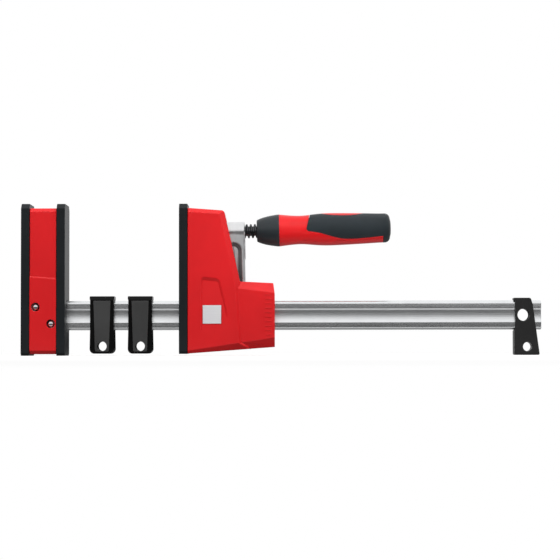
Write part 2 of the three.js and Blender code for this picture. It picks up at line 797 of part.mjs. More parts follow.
// The arm's foot around the rail, level in the pose shown, about the ball's centre.
function armFoot() {
  const slotTop = railTop - ballHeight + armPlayOver;
  const slotBottom = railBottom - ballHeight - armPlayUnder;
  const bottom = slotBottom - armFootBottom;
  const top = slotTop + armFootTop;
  const start = armFrontPlace - armFootOverhang - slotTop * Math.sin(cantAngle);
  const end = rearGuideEnd - guideRearLength - armFootRearRoom - ballPlace;
  const body = extrudeAcross(outline([
    [start, bottom, armFootCorner], [end, bottom, armFootCorner],
    [end, top, armFootCorner], [start, top, armFootCorner],
  ]), [-armFootWidth / 2, armFootWidth / 2]);
  const slotHalf = railThickness / 2 + slideGap;
  const slot = block([start - overrun, end + overrun], [-slotHalf, slotHalf],
    [slotBottom, slotTop]);
  return cut(body, slot).rotateY(cantAngle);
}

// The cast arm: threaded boss, pocketed plate and the foot.
function slidingArm() {
  const bossRadius = armBossDiameter / 2;
  const plateFoot = railTop - ballHeight + armPlayOver + armFootTop;
  const boss = turned([
    [0, armBossStart], [bossRadius, armBossStart], [bossRadius, armBossEnd], [0, armBossEnd],
  ], 32);
  const plateEnd = armBossEnd - armRearInset;
  const plate = block([armFrontPlace, plateEnd],
    [-armPlateThickness / 2, armPlateThickness / 2], [plateFoot - armFootTop / 2, 0]);
  const pocket = outline([
    [armFrontPlace + armPocketRim, plateFoot + armPocketRim, armPocketRim],
    [plateEnd - armPocketRim, plateFoot + armPocketRim, armPocketRim],
    [plateEnd - armPocketRim, -armPocketDrop, armPocketRound],
    [armFrontPlace + armPocketRim, -armPocketDrop, armPocketRound],
  ]);
  const pockets = [-1, 1].map((side) => {
    const faces = [side * (armPlateThickness / 2 - armPocketDepth), side * jawWidth];
    return extrudeAcross(pocket, faces.sort((a, b) => a - b));
  });
  const thread = threadSolid({
    root: threadRoot + threadPlay,
    crest: threadDiameter / 2 + threadPlay,
    crestLength: threadCrest + threadPlay * 2,
    flankLength: threadFlank,
    turns: (armBossEnd - armBossStart) / threadPitch + threadCutTurns,
    start: threadStart + threadPitch / 2,
  });
  const solid = cut(join(boss, cut(plate, ...pockets), armFoot()), thread);
  return piece('sliding_arm', solid, colours.castSteel, 0.42, 0.9);
}

// Radius of the handle's body along the screw, from the collar's face.
function handleProfile() {
  const end = handleLength;
  const curve = new THREE.SplineCurve([
    new THREE.Vector2(collarLength, collarTopDiameter / 2),
    new THREE.Vector2(end * handleWaistShare, handleWaistDiameter / 2),
    new THREE.Vector2(end * handleBulgeShare, handleBulgeDiameter / 2),
    new THREE.Vector2(end - handleEndSetback, handleEndDiameter / 2),
  ]);
  const body = curve.getPoints(12).map((point) => [point.y, point.x]);
  const round = handleEndRound;
  const rim = handleEndDiameter / 2;
  const corner = arcShares.map((share) => share * Math.PI / 2).map((angle) => [
    rim - round * (1 - Math.cos(angle)), end - handleCrown - round + round * Math.sin(angle),
  ]);
  return [...body, [rim, end - handleCrown - round], ...corner];
}

function handleCollar() {
  const bore = threadRoot + seatGap;
  const front = collarFrontDiameter / 2;
  const back = collarTopDiameter / 2;
  const length = collarLength - seatGap;
  const geometry = turned([
    [bore, 0], [front - collarFrontRound, 0], [front, collarFrontRound],
    [(front + back) / 2 + collarDish / 2, length / 2], [back, length - collarDish], [back, length],
    [bore, length], [bore, 0],
  ], handleSides).translate(collarPlace, 0, 0);
  return piece('handle_collar', geometry, colours.black, 0.5);
}

// The handle's whole body, solid.
function handleBody(start, shrink = 0) {
  const profile = handleProfile().filter(([, x]) => x >= start)
    .map(([radius, x]) => [radius - shrink, x]);
  const [, lastX] = profile.at(-1);
  return turned([[0, profile[0][1]], ...profile, [0, lastX + handleCrown - shrink]], handleSides);
}

// Zone of the soft grip in side view: two side panels that run into the end cap.
function gripZone(clearance) {
  const start = gripStart - clearance;
  const drop = gripStart + handleLength * gripRiseShare;
  const shape = outline([
    [start, -gripFrontLowerEdge - clearance, gripCornerRound / 2 + clearance],
    [drop, -gripLowerEdge - clearance],
    [gripCapStart - clearance, -gripLowerEdge - clearance],
    [gripCapStart - clearance, -handleBulgeDiameter],
    [handleLength + overrun, -handleBulgeDiameter],
    [handleLength + overrun, handleBulgeDiameter],
    [gripCapStart - clearance, handleBulgeDiameter],
    [gripCapStart - clearance, gripUpperEdge + clearance],
    [start, gripUpperEdge + clearance, gripCornerRound + clearance],
  ]);
  return extrudeAcross(shape, [-handleBulgeDiameter, handleBulgeDiameter]);
}

// The grip's zone less the handle's inner body, so that a skin of the grip's thickness is left.
function gripTool(clearance) {
  return cut(gripZone(clearance), handleBody(collarLength, gripThickness + clearance));
}

// Everything from a place near the handle's end on.
function endBlock(start) {
  const reach = [-handleBulgeDiameter, handleBulgeDiameter];
  return block([start, handleLength + overrun], reach, reach);
}

function handleCore() {
  const bore = turned([
    [0, 0], [threadRoot + seatGap, 0], [threadRoot + seatGap, shankLength + seatGap],
    [0, shankLength + seatGap],
  ], threadSides);
  const insertRoom = turned([
    [0, handleLength - hexInsertLength - seatGap],
    [hexInsertDiameter / 2 + seatGap, handleLength - hexInsertLength - seatGap],
    [hexInsertDiameter / 2 + seatGap, handleLength + overrun], [0, handleLength + overrun],
  ]);
  const solid = cut(handleBody(collarLength), gripTool(seatGap), endBlock(gripCapStart - seatGap),
    bore, insertRoom);
  return piece('handle_core', solid.translate(collarPlace, 0, 0), colours.red, 0.35);
}

function handleGrip() {
  const bore = turned([
    [0, 0], [hexInsertDiameter / 2 + seatGap, 0],
    [hexInsertDiameter / 2 + seatGap, handleLength + overrun], [0, handleLength + overrun],
  ]);
  const shape = join(gripTool(0), endBlock(gripCapStart));
  const solid = cut(common(handleBody(collarLength), shape), bore);
  return piece('handle_grip', solid.translate(collarPlace, 0, 0), colours.softBlack, 0.75);
}

// Hexagon socket in the handle's end, for a key.
function hexInsert() {
  const radius = hexInsertDiameter / 2;
  const start = handleLength - hexInsertLength;
  const end = handleLength - handleCrown / 2;
  const stock = turned([[0, start], [radius, start], [radius, end], [0, end]], 24);
  const hexRadius = hexSocketFlats / 2 / Math.cos(Math.PI / 6);
  const socket = new THREE.CylinderGeometry(hexRadius, hexRadius, hexSocketDepth * 2, 6)
    .rotateZ(Math.PI / 2).translate(end, 0, 0);
  const geometry = cut(stock, socket).translate(collarPlace, 0, 0);
  return piece('hex_drive_insert', geometry, colours.steel, 0.3, 1);
}

// Everything that cants about the ball, modelled about the ball's centre.
function screwGroup() {
  const group = new THREE.Group();
  group.position.set(ballPlace, 0, ballHeight);
  group.rotation.y = -cantAngle;
  group.add(thrustCup(), slidingArm(), spindle(), handleCollar(), handleCore(), handleGrip(),
    hexInsert());
  return group;
}

function clamp() {
  const group = new THREE.Group();
  group.add(
    rail(),
    fixedJaw(),
    railFoot('rail_support_1', footNearPlace),
    railFoot('rail_support_2', footNearPlace + footSpacing),
    endClip(),
    slidingJaw(),
    screwGroup(),
  );
  group.position.x = fixedJawDepth - overallLength / 2;
  return group;
}

const group = clamp();
export default group;
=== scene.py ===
"""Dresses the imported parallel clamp: its visible pieces, finishes, light and camera.

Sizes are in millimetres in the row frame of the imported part: X along the rail from the fixed
jaw to the free end, Y to the rear side, Z up from the bench. Meshes are turned into metres
when a piece is placed.
"""

import logging
import math
from collections.abc import Sequence
from dataclasses import dataclass
from enum import Enum
from functools import cache

import bmesh
import bpy
from bmesh.types import BMEdge, BMesh, BMFace, BMVert
from bpy.types import Material, Node, NodeSocket, NodeTree, Object
from mathutils import Matrix, Vector
from mathutils.geometry import interpolate_bezier


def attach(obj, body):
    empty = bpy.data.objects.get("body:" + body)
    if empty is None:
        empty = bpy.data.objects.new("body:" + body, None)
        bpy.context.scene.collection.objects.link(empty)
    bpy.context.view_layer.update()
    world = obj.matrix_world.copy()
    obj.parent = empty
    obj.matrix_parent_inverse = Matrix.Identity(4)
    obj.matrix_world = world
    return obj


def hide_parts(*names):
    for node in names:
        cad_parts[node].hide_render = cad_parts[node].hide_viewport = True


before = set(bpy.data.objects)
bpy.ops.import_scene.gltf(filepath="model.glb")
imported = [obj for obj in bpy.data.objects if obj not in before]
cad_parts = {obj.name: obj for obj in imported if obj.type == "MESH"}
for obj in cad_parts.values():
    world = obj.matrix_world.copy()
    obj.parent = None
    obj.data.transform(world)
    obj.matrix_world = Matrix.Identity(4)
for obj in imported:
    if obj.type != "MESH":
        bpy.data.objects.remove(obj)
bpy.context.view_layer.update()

log = logging.getLogger("clamp")

Pair = tuple[float, float]
Triple = tuple[float, float, float]
Outline = Sequence[tuple[float, ...]]  # corners, each of them (u, v) or (u, v, radius)

MM = 0.001
MERGE = 0.004  # mm within which points are one point
BEYOND = 5.0  # mm by which a tool reaches past what it cuts
CANT = math.radians(1.3)  # of screw and arm in the pose shown
BALL = Vector((-83.1, 0.0, 121.6))  # centre of the screw's ball
SCREW_PLACE = Matrix.Translation(BALL) @ Matrix.Rotation(-CANT, 4, "Y")
JAW_PINS = ((-241.3, 47.6), (-226.3, 31.2))  # X and Z of the pins through jaw and rail
FLAT = math.radians(0.4)  # angle between faces below which they count as one
ALONG = 0.99  # share of an edge's length beyond which it runs along an axis
TONE_SPAN = (0.3, 0.7)  # stretch of a pattern over which the deep tone turns into the other
FLAT_WEIGHT = 80  # of a large face in the shading, against the rounded edges beside it


class Axis(Enum):
    """The direction that a solid is made along: the clamp's length or its width."""

    X = 0
    Y = 1


class Way(Enum):
    """How two solids are combined."""

    JOIN = "UNION"
    CUT = "DIFFERENCE"
    COMMON = "INTERSECT"


class Side(Enum):
    """The two wide sides of the clamp, as signs along Y."""

    FRONT = -1
    REAR = 1

    @property
    def word(self) -> str:
        """The side as the pieces' names have it."""
        return self.name.lower()

    def span(self, inner: float, outer: float) -> Pair:
        """What lies along Y between two distances from the middle, on this side."""
        low, high = sorted((self.value * inner, self.value * outer))
        return low, high


def in_plane(u: float, v: float, axis: Axis, along: float) -> Vector:
    """A point of an outline's plane, at a place along the axis it is extruded along."""
    return Vector((along, u, v) if axis is Axis.X else (u, along, v))


def prism(corners: Outline, axis: Axis, span: Pair) -> BMesh:
    """Extrudes an outline whose corners may be rounded.

    Args:
        corners: (u, v) or (u, v, radius) of each corner, in order round the outline.
        axis: the direction of the extrusion.
        span: where it starts and ends along that direction.

    Returns:
        The closed solid.
    """
    bm = bmesh.new()
    points = [bm.verts.new(in_plane(u, v, axis, span[0])) for u, v, *_ in corners]
    bm.faces.new(points)
    for point, (_, _, *radius) in zip(points, corners):
        if radius:
            bmesh.ops.bevel(bm, geom=[point], offset=radius[0], offset_type="OFFSET",
                            segments=6, profile=0.5, affect="VERTICES", material=-1)
    made = bmesh.ops.extrude_face_region(bm, geom=bm.faces[:])
    moved = [item for item in made["geom"] if isinstance(item, BMVert)]
    shift = in_plane(0, 0, axis, span[1] - span[0])
    bmesh.ops.translate(bm, verts=moved, vec=shift)
    bmesh.ops.recalc_face_normals(bm, faces=bm.faces)
    return bm


def slab(corners: Outline, half: float) -> BMesh:
    """An outline in X and Z, extruded by the same length to both sides of the middle."""
    return prism(corners, Axis.Y, (-half, half))


def block(low: Triple, high: Triple, bm: BMesh | None = None) -> BMesh:
    """A block between two corners, alone or added to another solid."""
    if bm is None:
        bm = bmesh.new()
    made = bmesh.ops.create_cube(bm, size=1)["verts"]
    bmesh.ops.scale(bm, vec=Vector(high) - Vector(low), verts=made)
    bmesh.ops.translate(bm, vec=(Vector(low) + Vector(high)) / 2, verts=made)
    return bm


def drum(radius: float, centre: Triple, length: float, axis: Axis, sides: int = 64) -> BMesh:
    """A cylinder along an axis through its centre."""
    bm = bmesh.new()
    bmesh.ops.create_cone(bm, cap_ends=True, segments=sides, radius1=radius, radius2=radius,
                          depth=length)
    turn = Matrix.Rotation(math.pi / 2, 4, "Y" if axis is Axis.X else "X")
    bmesh.ops.transform(bm, matrix=Matrix.Translation(centre) @ turn, verts=bm.verts)
    return bm


def cross_hole(radius: float, x: float, z: float, length: float) -> BMesh:
    """The tool for a round hole from one wide side to the other."""
    return drum(radius, (x, 0, z), length, Axis.Y)


def quarter_turn(steps: int = 8) -> list[float]:
    """The angles of a quarter turn in equal steps."""
    return [math.pi / 2 * step / steps for step in range(steps + 1)]


def turned(profile: list[Pair], sides: int = 96) -> BMesh:
    """Spins a profile about the X axis.

    Args:
        profile: (place along X, radius) of each point, from one end to the other.
        sides: steps of a full turn.

    Returns:
        The closed solid of revolution.
    """
    bm = bmesh.new()
    points = [bm.verts.new((x, 0, radius)) for x, radius in profile]
    edges = [bm.edges.new(pair) for pair in zip(points, points[1:])]
    bmesh.ops.spin(bm, geom=points + edges, cent=(0, 0, 0), axis=(1, 0, 0), dvec=(0, 0, 0),
                   angle=2 * math.pi, steps=sides, use_merge=True, use_duplicate=False)
    bmesh.ops.remove_doubles(bm, verts=bm.verts, dist=MERGE)
    bmesh.ops.recalc_face_normals(bm, faces=bm.faces)
    return bm


def linked(bm: BMesh, name: str) -> Object:
    """Turns a solid, which is used up, into an object of the scene."""
    mesh = bpy.data.meshes.new(name)
    bm.to_mesh(mesh)
    bm.free()
    thing = bpy.data.objects.new(name, mesh)
    bpy.context.scene.collection.objects.link(thing)
    return thing


def combined(base: BMesh, way: Way, *tools: BMesh, whole: bool = True) -> BMesh:
    """Joins tools to a solid, cuts them away or keeps what is common.

    Args:
        base: the solid that is worked on.
        way: what is done with each tool.
        tools: the other solids, in order.
        whole: whether faces that lie flat to each other are made one.

    Returns:
        The new solid.
    """
    for tool in tools:
        holders = [linked(base, "base"), linked(tool, "tool")]
        modifier = holders[0].modifiers.new("combine", "BOOLEAN")
        modifier.operation = way.value
        modifier.solver = "EXACT"
        modifier.object = holders[1]
        base = bmesh.new()
        base.from_object(holders[0], bpy.context.evaluated_depsgraph_get())
        for holder in holders:
            mesh = holder.data
            bpy.data.objects.remove(holder)
            bpy.data.meshes.remove(mesh)
        bmesh.ops.remove_doubles(base, verts=base.verts, dist=MERGE)
        if whole:
            bmesh.ops.dissolve_limit(base, angle_limit=FLAT, verts=base.verts,
                                     edges=base.edges, use_dissolve_boundaries=False)
    return base


def cut_off(bm: BMesh, point: Sequence[float], normal: Sequence[float],
            dist: float = MERGE) -> None:
    """Takes away the side of a plane that its normal points to, and closes the cut."""
    cut = bmesh.ops.bisect_plane(bm, geom=bm.verts[:] + bm.edges[:] + bm.faces[:], dist=dist,
                                 plane_co=point, plane_no=normal, clear_outer=True)
    rim = [item for item in cut["geom_cut"] if isinstance(item, BMEdge)]
    bmesh.ops.holes_fill(bm, edges=rim, sides=0)


def sliced(bm: BMesh, points: Sequence[Triple], inside: Triple) -> BMesh:
    """Cuts a solid off at a plane and closes the cut.

    Args:
        bm: the solid.
        points: three points of the plane.
        inside: a point on the side that stays.

    Returns:
        The same solid.
    """
    first, second, third = (Vector(point) for point in points)
    normal = (second - first).cross(third - first).normalized()
    if normal.dot(Vector(inside) - first) > 0:
        normal.negate()
    cut_off(bm, first, normal)
    bmesh.ops.recalc_face_normals(bm, faces=bm.faces)
    return bm


def chamfered(bm: BMesh, edges: list[BMEdge], width: float) -> None:
    """Cuts a flat chamfer along some edges of a solid."""
    bmesh.ops.bevel(bm, geom=edges, offset=width, offset_type="OFFSET", segments=1,
                    profile=0.5, affect="EDGES", material=-1, clamp_overlap=False)


def long_edges(bm: BMesh, axis: Axis) -> list[BMEdge]:
    """The edges of a solid that run along an axis."""
    ways = [(edge, (edge.verts[1].co - edge.verts[0].co).normalized()) for edge in bm.edges]
    return [edge for edge, way in ways if abs(way[axis.value]) > ALONG]


def sunk_tool(corners: Outline, half: float, side: Side, wall: float,
              depth: float) -> tuple[BMesh, BMFace]:
    """Makes the tool for a recess with sloping walls in one wide side.

    Args:
        corners: the recess's outline in that side.
        half: the side's distance from the middle.
        side: the side itself.
        wall: width of the sloping walls.
        depth: of the recess's floor.

    Returns:
        The tool and the face that makes the floor.
    """
    face = side.value * half
    tool = prism(corners, Axis.Y, side.span(half, 2 * half))
    floor = [item for item in tool.faces
             if all(abs(vert.co.y - face) < MERGE for vert in item.verts)]
    bmesh.ops.inset_region(tool, faces=floor, thickness=wall, depth=depth,
                           use_even_offset=True)
    return tool, floor[0]


def linear(hex_colour: str) -> tuple[float, float, float, float]:
    """Turns an sRGB hex colour into the linear one that shaders take."""
    parts = [int(hex_colour[index:index + 2], 16) / 255 for index in (1, 3, 5)]
    red, green, blue = (
        part / 12.92 if part <= 0.04045 else ((part + 0.055) / 1.055) ** 2.4 for part in parts)
    return red, green, blue, 1.0


def add_node(tree: NodeTree, kind: str, settings: dict[str | int, object] | None = None,
             links: dict[str | int, NodeSocket] | None = None) -> Node:
    """Adds a node with its settings and links.

    Args:
        tree: the material's or world's tree.
        kind: the node's type.
        settings: its properties and unlinked inputs, by name.
        links: what feeds its inputs, by name or number.

    Returns:
        The new node.
    """
    node = tree.nodes.new(kind)
    for name, value in (settings or {}).items():
        if isinstance(name, int) or name in node.inputs:
            node.inputs[name].default_value = value
        else:
            setattr(node, name, value)
    for name, output in (links or {}).items():
        tree.links.new(output, node.inputs[name])
    return node


def per_metre(size: float) -> float:
    """The scale of a noise whose features are this many millimetres across."""
    return 1.0 / (size * MM)


def blank_material(name: str) -> Material:
    """A material whose tree is still empty."""
    material = bpy.data.materials.new(name)
    material.use_nodes = True
    material.node_tree.nodes.clear()
    return material


@dataclass(frozen=True)
class Finish:
    """What every finish has: a material's name, its two tones, its gloss and its relief."""

    name: str
    tone: str
    deep_tone: str
    roughness: float
    spread: float = 0.05  # of the roughness, up and down
    depth: float = 0.012  # mm, of the relief

    def sockets(self) -> dict[str, float]:
        """Settings of the shader that are the same all over, besides the roughness."""
        raise NotImplementedError

    def patterns(self, tree: NodeTree, place: NodeSocket) -> tuple[NodeSocket, ...]:
        """Makes what varies over the surface.

        Args:
            tree: the material's tree.
            place: the object's coordinates.

        Returns:
            The patterns of the tones, of the gloss and of the relief.
        """
        raise NotImplementedError

    def local(self, tree: NodeTree, place: NodeSocket, rough: NodeSocket) -> NodeSocket:
        """The roughness once parts that differ have theirs; most finishes have no such part."""
        return rough

    @cache
    def material(self) -> Material:
        """The finish as a material, which is made only once."""
        material = blank_material(self.name)
        tree = material.node_tree
        shader = add_node(tree, "ShaderNodeBsdfPrincipled",
                          {"Roughness": self.roughness, **self.sockets()})
        add_node(tree, "ShaderNodeOutputMaterial", links={"Surface": shader.outputs[0]})
        place = add_node(tree, "ShaderNodeTexCoord").outputs["Object"]
        tones, gloss, relief = self.patterns(tree, place)
        ramp = add_node(tree, "ShaderNodeValToRGB", links={"Fac": tones})
        stops = zip(ramp.color_ramp.elements, (self.deep_tone, self.tone), TONE_SPAN)
        for stop, tone, share in stops:
            stop.color = linear(tone)
            stop.position = share
        rough = add_node(tree, "ShaderNodeMapRange", {
            "To Min": self.roughness - self.spread, "To Max": self.roughness + self.spread},
            {"Value": gloss})
        bump = add_node(tree, "ShaderNodeBump", {"Distance": self.depth * MM, "Strength": 1.0},
                        {"Height": relief})
        for name, output in (("Base Color", ramp.outputs["Color"]),
                             ("Roughness", self.local(tree, place, rough.outputs[0])),
                             ("Normal", bump.outputs[0])):
            tree.links.new(output, shader.inputs[name])
        return material


@dataclass(frozen=True)
class MouldedPlastic(Finish):
    """Polyamide or polypropylene from a spark-eroded mould: satin, with a fine even grain."""

    grain: float = 0.6  # mm; real mould grain is near 0.1, drawn coarser so that it shows
    flow: float = 34.0  # mm across the faint flow marks of the melt
    gloss: float = 0.35  # below the 0.5 of a polished face, as the grain scatters light

    def sockets(self) -> dict[str, float]:
        """The shader's settings for a plastic."""
        return {"IOR": 1.5, "Specular IOR Level": self.gloss}

    def patterns(self, tree: NodeTree, place: NodeSocket) -> tuple[NodeSocket, ...]:
        """Flow marks in the tones, grain in gloss and relief."""
        flow = add_node(tree, "ShaderNodeTexNoise",
                        {"Scale": per_metre(self.flow), "Detail": 3.0, "Distortion": 0.4},
                        {"Vector": place})
        grain = add_node(tree, "ShaderNodeTexNoise",
                         {"Scale": per_metre(self.grain), "Detail": 2.0, "Roughness": 0.6},
                         {"Vector": place})
        return flow.outputs["Fac"], grain.outputs["Fac"], grain.outputs["Fac"]


@dataclass(frozen=True)
class MetalFinish(Finish):
    """A finish of bare, plated or painted metal."""

    metallic: float = 1.0

    def sockets(self) -> dict[str, float]:
        """How much of the surface is metal."""
        return {"Metallic": self.metallic}


@dataclass(frozen=True)
class DrawnSteel(MetalFinish):
    """Cold-drawn bar steel, bright zinc plated: long fine lines and a cloudy plating."""

    spread: float = 0.07
    depth: float = 0.004
    line: float = 0.45  # mm between drawing lines, drawn coarser than the real 0.1
    run: float = 60.0  # mm that a line runs along the bar
    cloud: float = 14.0  # mm across the plating's clouds
    cloudiness: float = 0.35  # share of the clouds in the tones
    groove: Pair | None = None  # heights in mm between which it is undrawn
    groove_roughness: float = 0.32

    def patterns(self, tree: NodeTree, place: NodeSocket) -> tuple[NodeSocket, ...]:
        """Lines and clouds in the tones, lines in gloss and relief."""
        across = per_metre(self.line)
        stretch = add_node(tree, "ShaderNodeMapping",
                           {"Scale": (per_metre(self.run), across, across)}, {"Vector": place})
        lines = add_node(tree, "ShaderNodeTexNoise",
                         {"Scale": 1.0, "Detail": 3.0, "Roughness": 0.55},
                         {"Vector": stretch.outputs[0]}).outputs["Fac"]
        clouds = add_node(tree, "ShaderNodeTexNoise",
                          {"Scale": per_metre(self.cloud), "Detail": 4.0}, {"Vector": place})
        mixed = add_node(tree, "ShaderNodeMix",
                         {"data_type": "FLOAT", "Factor": self.cloudiness},
                         {2: lines, 3: clouds.outputs["Fac"]})
        return mixed.outputs[0], lines, lines

    def local(self, tree: NodeTree, place: NodeSocket, rough: NodeSocket) -> NodeSocket:
        """Leaves the groove as rolled: the die that smooths the flats doesn't reach it."""
        if not self.groove:
            return rough
        low, high = self.groove
        height = add_node(tree, "ShaderNodeSeparateXYZ", links={0: place}).outputs["Z"]
        inside = add_node(tree, "ShaderNodeMath", {
            "operation": "COMPARE", 1: (low + high) / 2 * MM, 2: (high - low) / 2 * MM},
            {0: height})
        both = add_node(tree, "ShaderNodeMix", {"data_type": "FLOAT", 3: self.groove_roughness},
                        {0: inside.outputs[0], 2: rough})
        return both.outputs[0]


@dataclass(frozen=True)
class CastMetal(MetalFinish):
    """A steel casting: peened skin of small soft bumps under bright zinc, or bare and dull."""

    spread: float = 0.08
    grain: float = 1.6  # mm
    cloud: float = 9.0  # mm

    def patterns(self, tree: NodeTree, place: NodeSocket) -> tuple[NodeSocket, ...]:
        """Clouds in tones and gloss, the skin's bumps in the relief."""
        skin = add_node(tree, "ShaderNodeTexNoise",
                        {"Scale": per_metre(self.grain), "Detail": 3.0, "Roughness": 0.5},
                        {"Vector": place})
        clouds = add_node(tree, "ShaderNodeTexNoise",
                          {"Scale": per_metre(self.cloud), "Detail": 3.0}, {"Vector": place})
        return clouds.outputs["Fac"], clouds.outputs["Fac"], skin.outputs["Fac"]


@dataclass(frozen=True)
class TurnedSteel(MetalFinish):
    """Steel from the lathe: fine rings round the axis, polished, plain or blackened in oil."""

    depth: float = 0.003
    axis: Axis = Axis.X
    canted: bool = False  # whether the rings follow the screw's cant
    ring: float = 0.35  # mm between tool marks
    arc: float = 12.0  # mm that a tool mark stays the same
    stain: float = 5.0  # mm

    def patterns(self, tree: NodeTree, place: NodeSocket) -> tuple[NodeSocket, ...]:
        """Stains in the tones, rings in gloss and relief."""
        turn = (0.0, CANT if self.canted else 0.0, 0.0)
        level = add_node(tree, "ShaderNodeMapping", {"Rotation": turn}, {"Vector": place})
        scale = [per_metre(self.arc)] * 3
        scale[self.axis.value] = per_metre(self.ring)
        stretch = add_node(tree, "ShaderNodeMapping", {"Scale": scale},
                           {"Vector": level.outputs[0]})
        rings = add_node(tree, "ShaderNodeTexNoise", {"Scale": 1.0, "Detail": 2.0},
                         {"Vector": stretch.outputs[0]}).outputs["Fac"]
        stain = add_node(tree, "ShaderNodeTexNoise",
                         {"Scale": per_metre(self.stain), "Detail": 4.0}, {"Vector": place})
        return stain.outputs["Fac"], rings, rings


@dataclass(frozen=True)
class SoftTouch(Finish):
    """Thermoplastic elastomer moulded over the handle: matt, with a leathery fine grain."""

    depth: float = 0.02
    grain: float = 0.55  # mm
    cloud: float = 20.0  # mm

    def sockets(self) -> dict[str, float]:
        """The shader's settings for a soft plastic with a trace of bloom."""
        return {"IOR": 1.45, "Specular IOR Level": 0.3, "Sheen Weight": 0.08,
                "Sheen Roughness": 0.5}

    def patterns(self, tree: NodeTree, place: NodeSocket) -> tuple[NodeSocket, ...]:
        """Clouds in tones and gloss, cells of leather in the relief."""
        cells = add_node(tree, "ShaderNodeTexVoronoi",
                         {"Scale": per_metre(self.grain), "Randomness": 1.0}, {"Vector": place})
        clouds = add_node(tree, "ShaderNodeTexNoise",
                          {"Scale": per_metre(self.cloud), "Detail": 3.0}, {"Vector": place})
        return clouds.outputs["Fac"], clouds.outputs["Fac"], cells.outputs["Distance"]


@dataclass(frozen=True)
class Finishes:
    """Every finish of the clamp, from what the real one is, besides two darker tones that paint
    shade.
    """

    # Drawn bar under clear zinc: grey, with lines along it that catch the light.
    rail: Finish = DrawnSteel("zinc_plated_drawn_steel", "#F2F4F5", "#E2E4E6", 0.2,
                              groove=(32.7, 46.3))
    # Bare sand-cast steel, seen only down the slots: dull and dark.
    core: Finish = CastMetal("bare_cast_steel", "#8D9093", "#6E7174", 0.5)
    # Glass-filled nylon in bright red: satin, a little deeper where the melt ran.
    cover: Finish = MouldedPlastic("red_moulded_nylon", "#DD161C", "#D31319", 0.34, gloss=0.38)
    # Polypropylene jaw faces: near black with a cool cast.
    pad: Finish = MouldedPlastic("black_polypropylene", "#161B1E", "#111517", 0.45,
                                 depth=0.02, grain=0.8, gloss=0.25)
    # Polished pin heads: mirror bright.
    pin: Finish = TurnedSteel("polished_steel_pin", "#E2E4E5", "#CDD0D2", 0.14, axis=Axis.Y)
    # Plain black nylon of the slide-on supports: a neutral, greyer black.
    support: Finish = MouldedPlastic("black_nylon", "#3D3D3D", "#343434", 0.5)
    # The supports' frame: the same black nylon, smoother, toned near black as painted shade where
    # its flanks turn away from the light.
    saddle: Finish = MouldedPlastic("black_nylon_painted_shade", "#070707", "#040404", 0.25,
                                    depth=0.003, gloss=0.17)
    # The end clip's plastic is deeper than the supports'.
    clip: Finish = MouldedPlastic("black_nylon_clip", "#1E1E1E", "#191919", 0.46)
    # Acetal sliding blocks inside the jaw: smooth and waxy.
    guide: Finish = MouldedPlastic("acetal", "#2B2D2F", "#242628", 0.35, depth=0.004)
    # Badge of painted aluminium sheet, drawn lines under the paint: light grey and satin.
    badge: Finish = DrawnSteel("satin_painted_aluminium", "#DEDEE0", "#D6D6D9", 0.4,
                               depth=0.002, metallic=0.0, line=0.6, run=18.0)
    # Sliding arm: forged, tumbled and zinc plated, so bright with soft small bumps.
    arm: Finish = CastMetal("zinc_plated_forging", "#EEEEEF", "#E0E1E2", 0.3)
    # Walls of the arm's pockets: grey, dull and barely metallic, as painted shade of the recess.
    scale: Finish = CastMetal("pocket_painted_shade", "#6A6D6E", "#585B5C", 0.6, metallic=0.25)
    # Rolled thread, blackened in oil: dark with bright ridges of light.
    thread: Finish = TurnedSteel("oil_blackened_steel", "#525355", "#303133", 0.24,
                                 metallic=0.85, canted=True)
    # Hard black nylon of the collar: a cool, satin black.
    collar: Finish = MouldedPlastic("black_nylon_collar", "#252A2D", "#1F2427", 0.42)
    # Handle's hard red core of moulded nylon: a deeper red than the covers.
    handle: Finish = MouldedPlastic("red_handle_nylon", "#CF1418", "#C51116", 0.34)
    # Soft overmoulding with a cool dark tone.
    grip: Finish = SoftTouch("soft_elastomer", "#22282C", "#1D2326", 0.6)
    # Bright turned steel of the cup and the key socket.
    bright: Finish = TurnedSteel("bright_turned_steel", "#D5D7D8", "#BFC2C4", 0.22, canted=True)


@dataclass(frozen=True)
class Place:
    """Where a finished piece belongs: its name, body, slot and the nodes it stands for."""

    name: str
    body: str
    slot: str
    nodes: tuple[str, ...] = ()


def placed(bm: BMesh, place: Place, finish: Finish, edge: float = 0.0, segments: int = 3,
           matrix: Matrix | None = None, angle: float = 28.0,
           second: Finish | None = None) -> None:
    """Turns a solid into a dressed piece of the clamp, at the origin.

    Args:
        bm: the solid in millimetres; it is used up.
        place: the piece's name, body, slot and nodes.
        finish: what it is made of.
        edge: radius in millimetres that its sharp edges are rounded by.
        segments: facets across each rounded edge.
        matrix: moves the solid from its own frame to the row frame.
        angle: edges sharper than this many degrees are rounded.
        second: finish of the faces whose index is 1.
    """
    bmesh.ops.transform(bm, matrix=Matrix.Scale(MM, 4) @ (matrix or Matrix.Identity(4)),
                        verts=bm.verts)
    for face in bm.faces:
        face.smooth = True
    piece = linked(bm, place.name)
    mesh = piece.data
    mesh.set_sharp_from_angle(angle=math.radians(angle))
    for look in (finish, second):
        if look:
            mesh.materials.append(look.material())
    if edge:
        bevel = piece.modifiers.new("rounded edges", "BEVEL")
        bevel.width = edge * MM
        bevel.segments = segments
        bevel.limit_method = "ANGLE"
        bevel.angle_limit = math.radians(angle)
        bevel.harden_normals = True
        bevel.use_clamp_overlap = False
        bevel.miter_outer = "MITER_ARC"
    weighted = piece.modifiers.new("flat faces", "WEIGHTED_NORMAL")
    weighted.keep_sharp = True
    weighted.weight = FLAT_WEIGHT
    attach(piece, place.body)
    if place.nodes:
        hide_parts(*place.nodes)
    log.info("%s: %d faces, on %s", place.name, len(mesh.polygons), place.body)


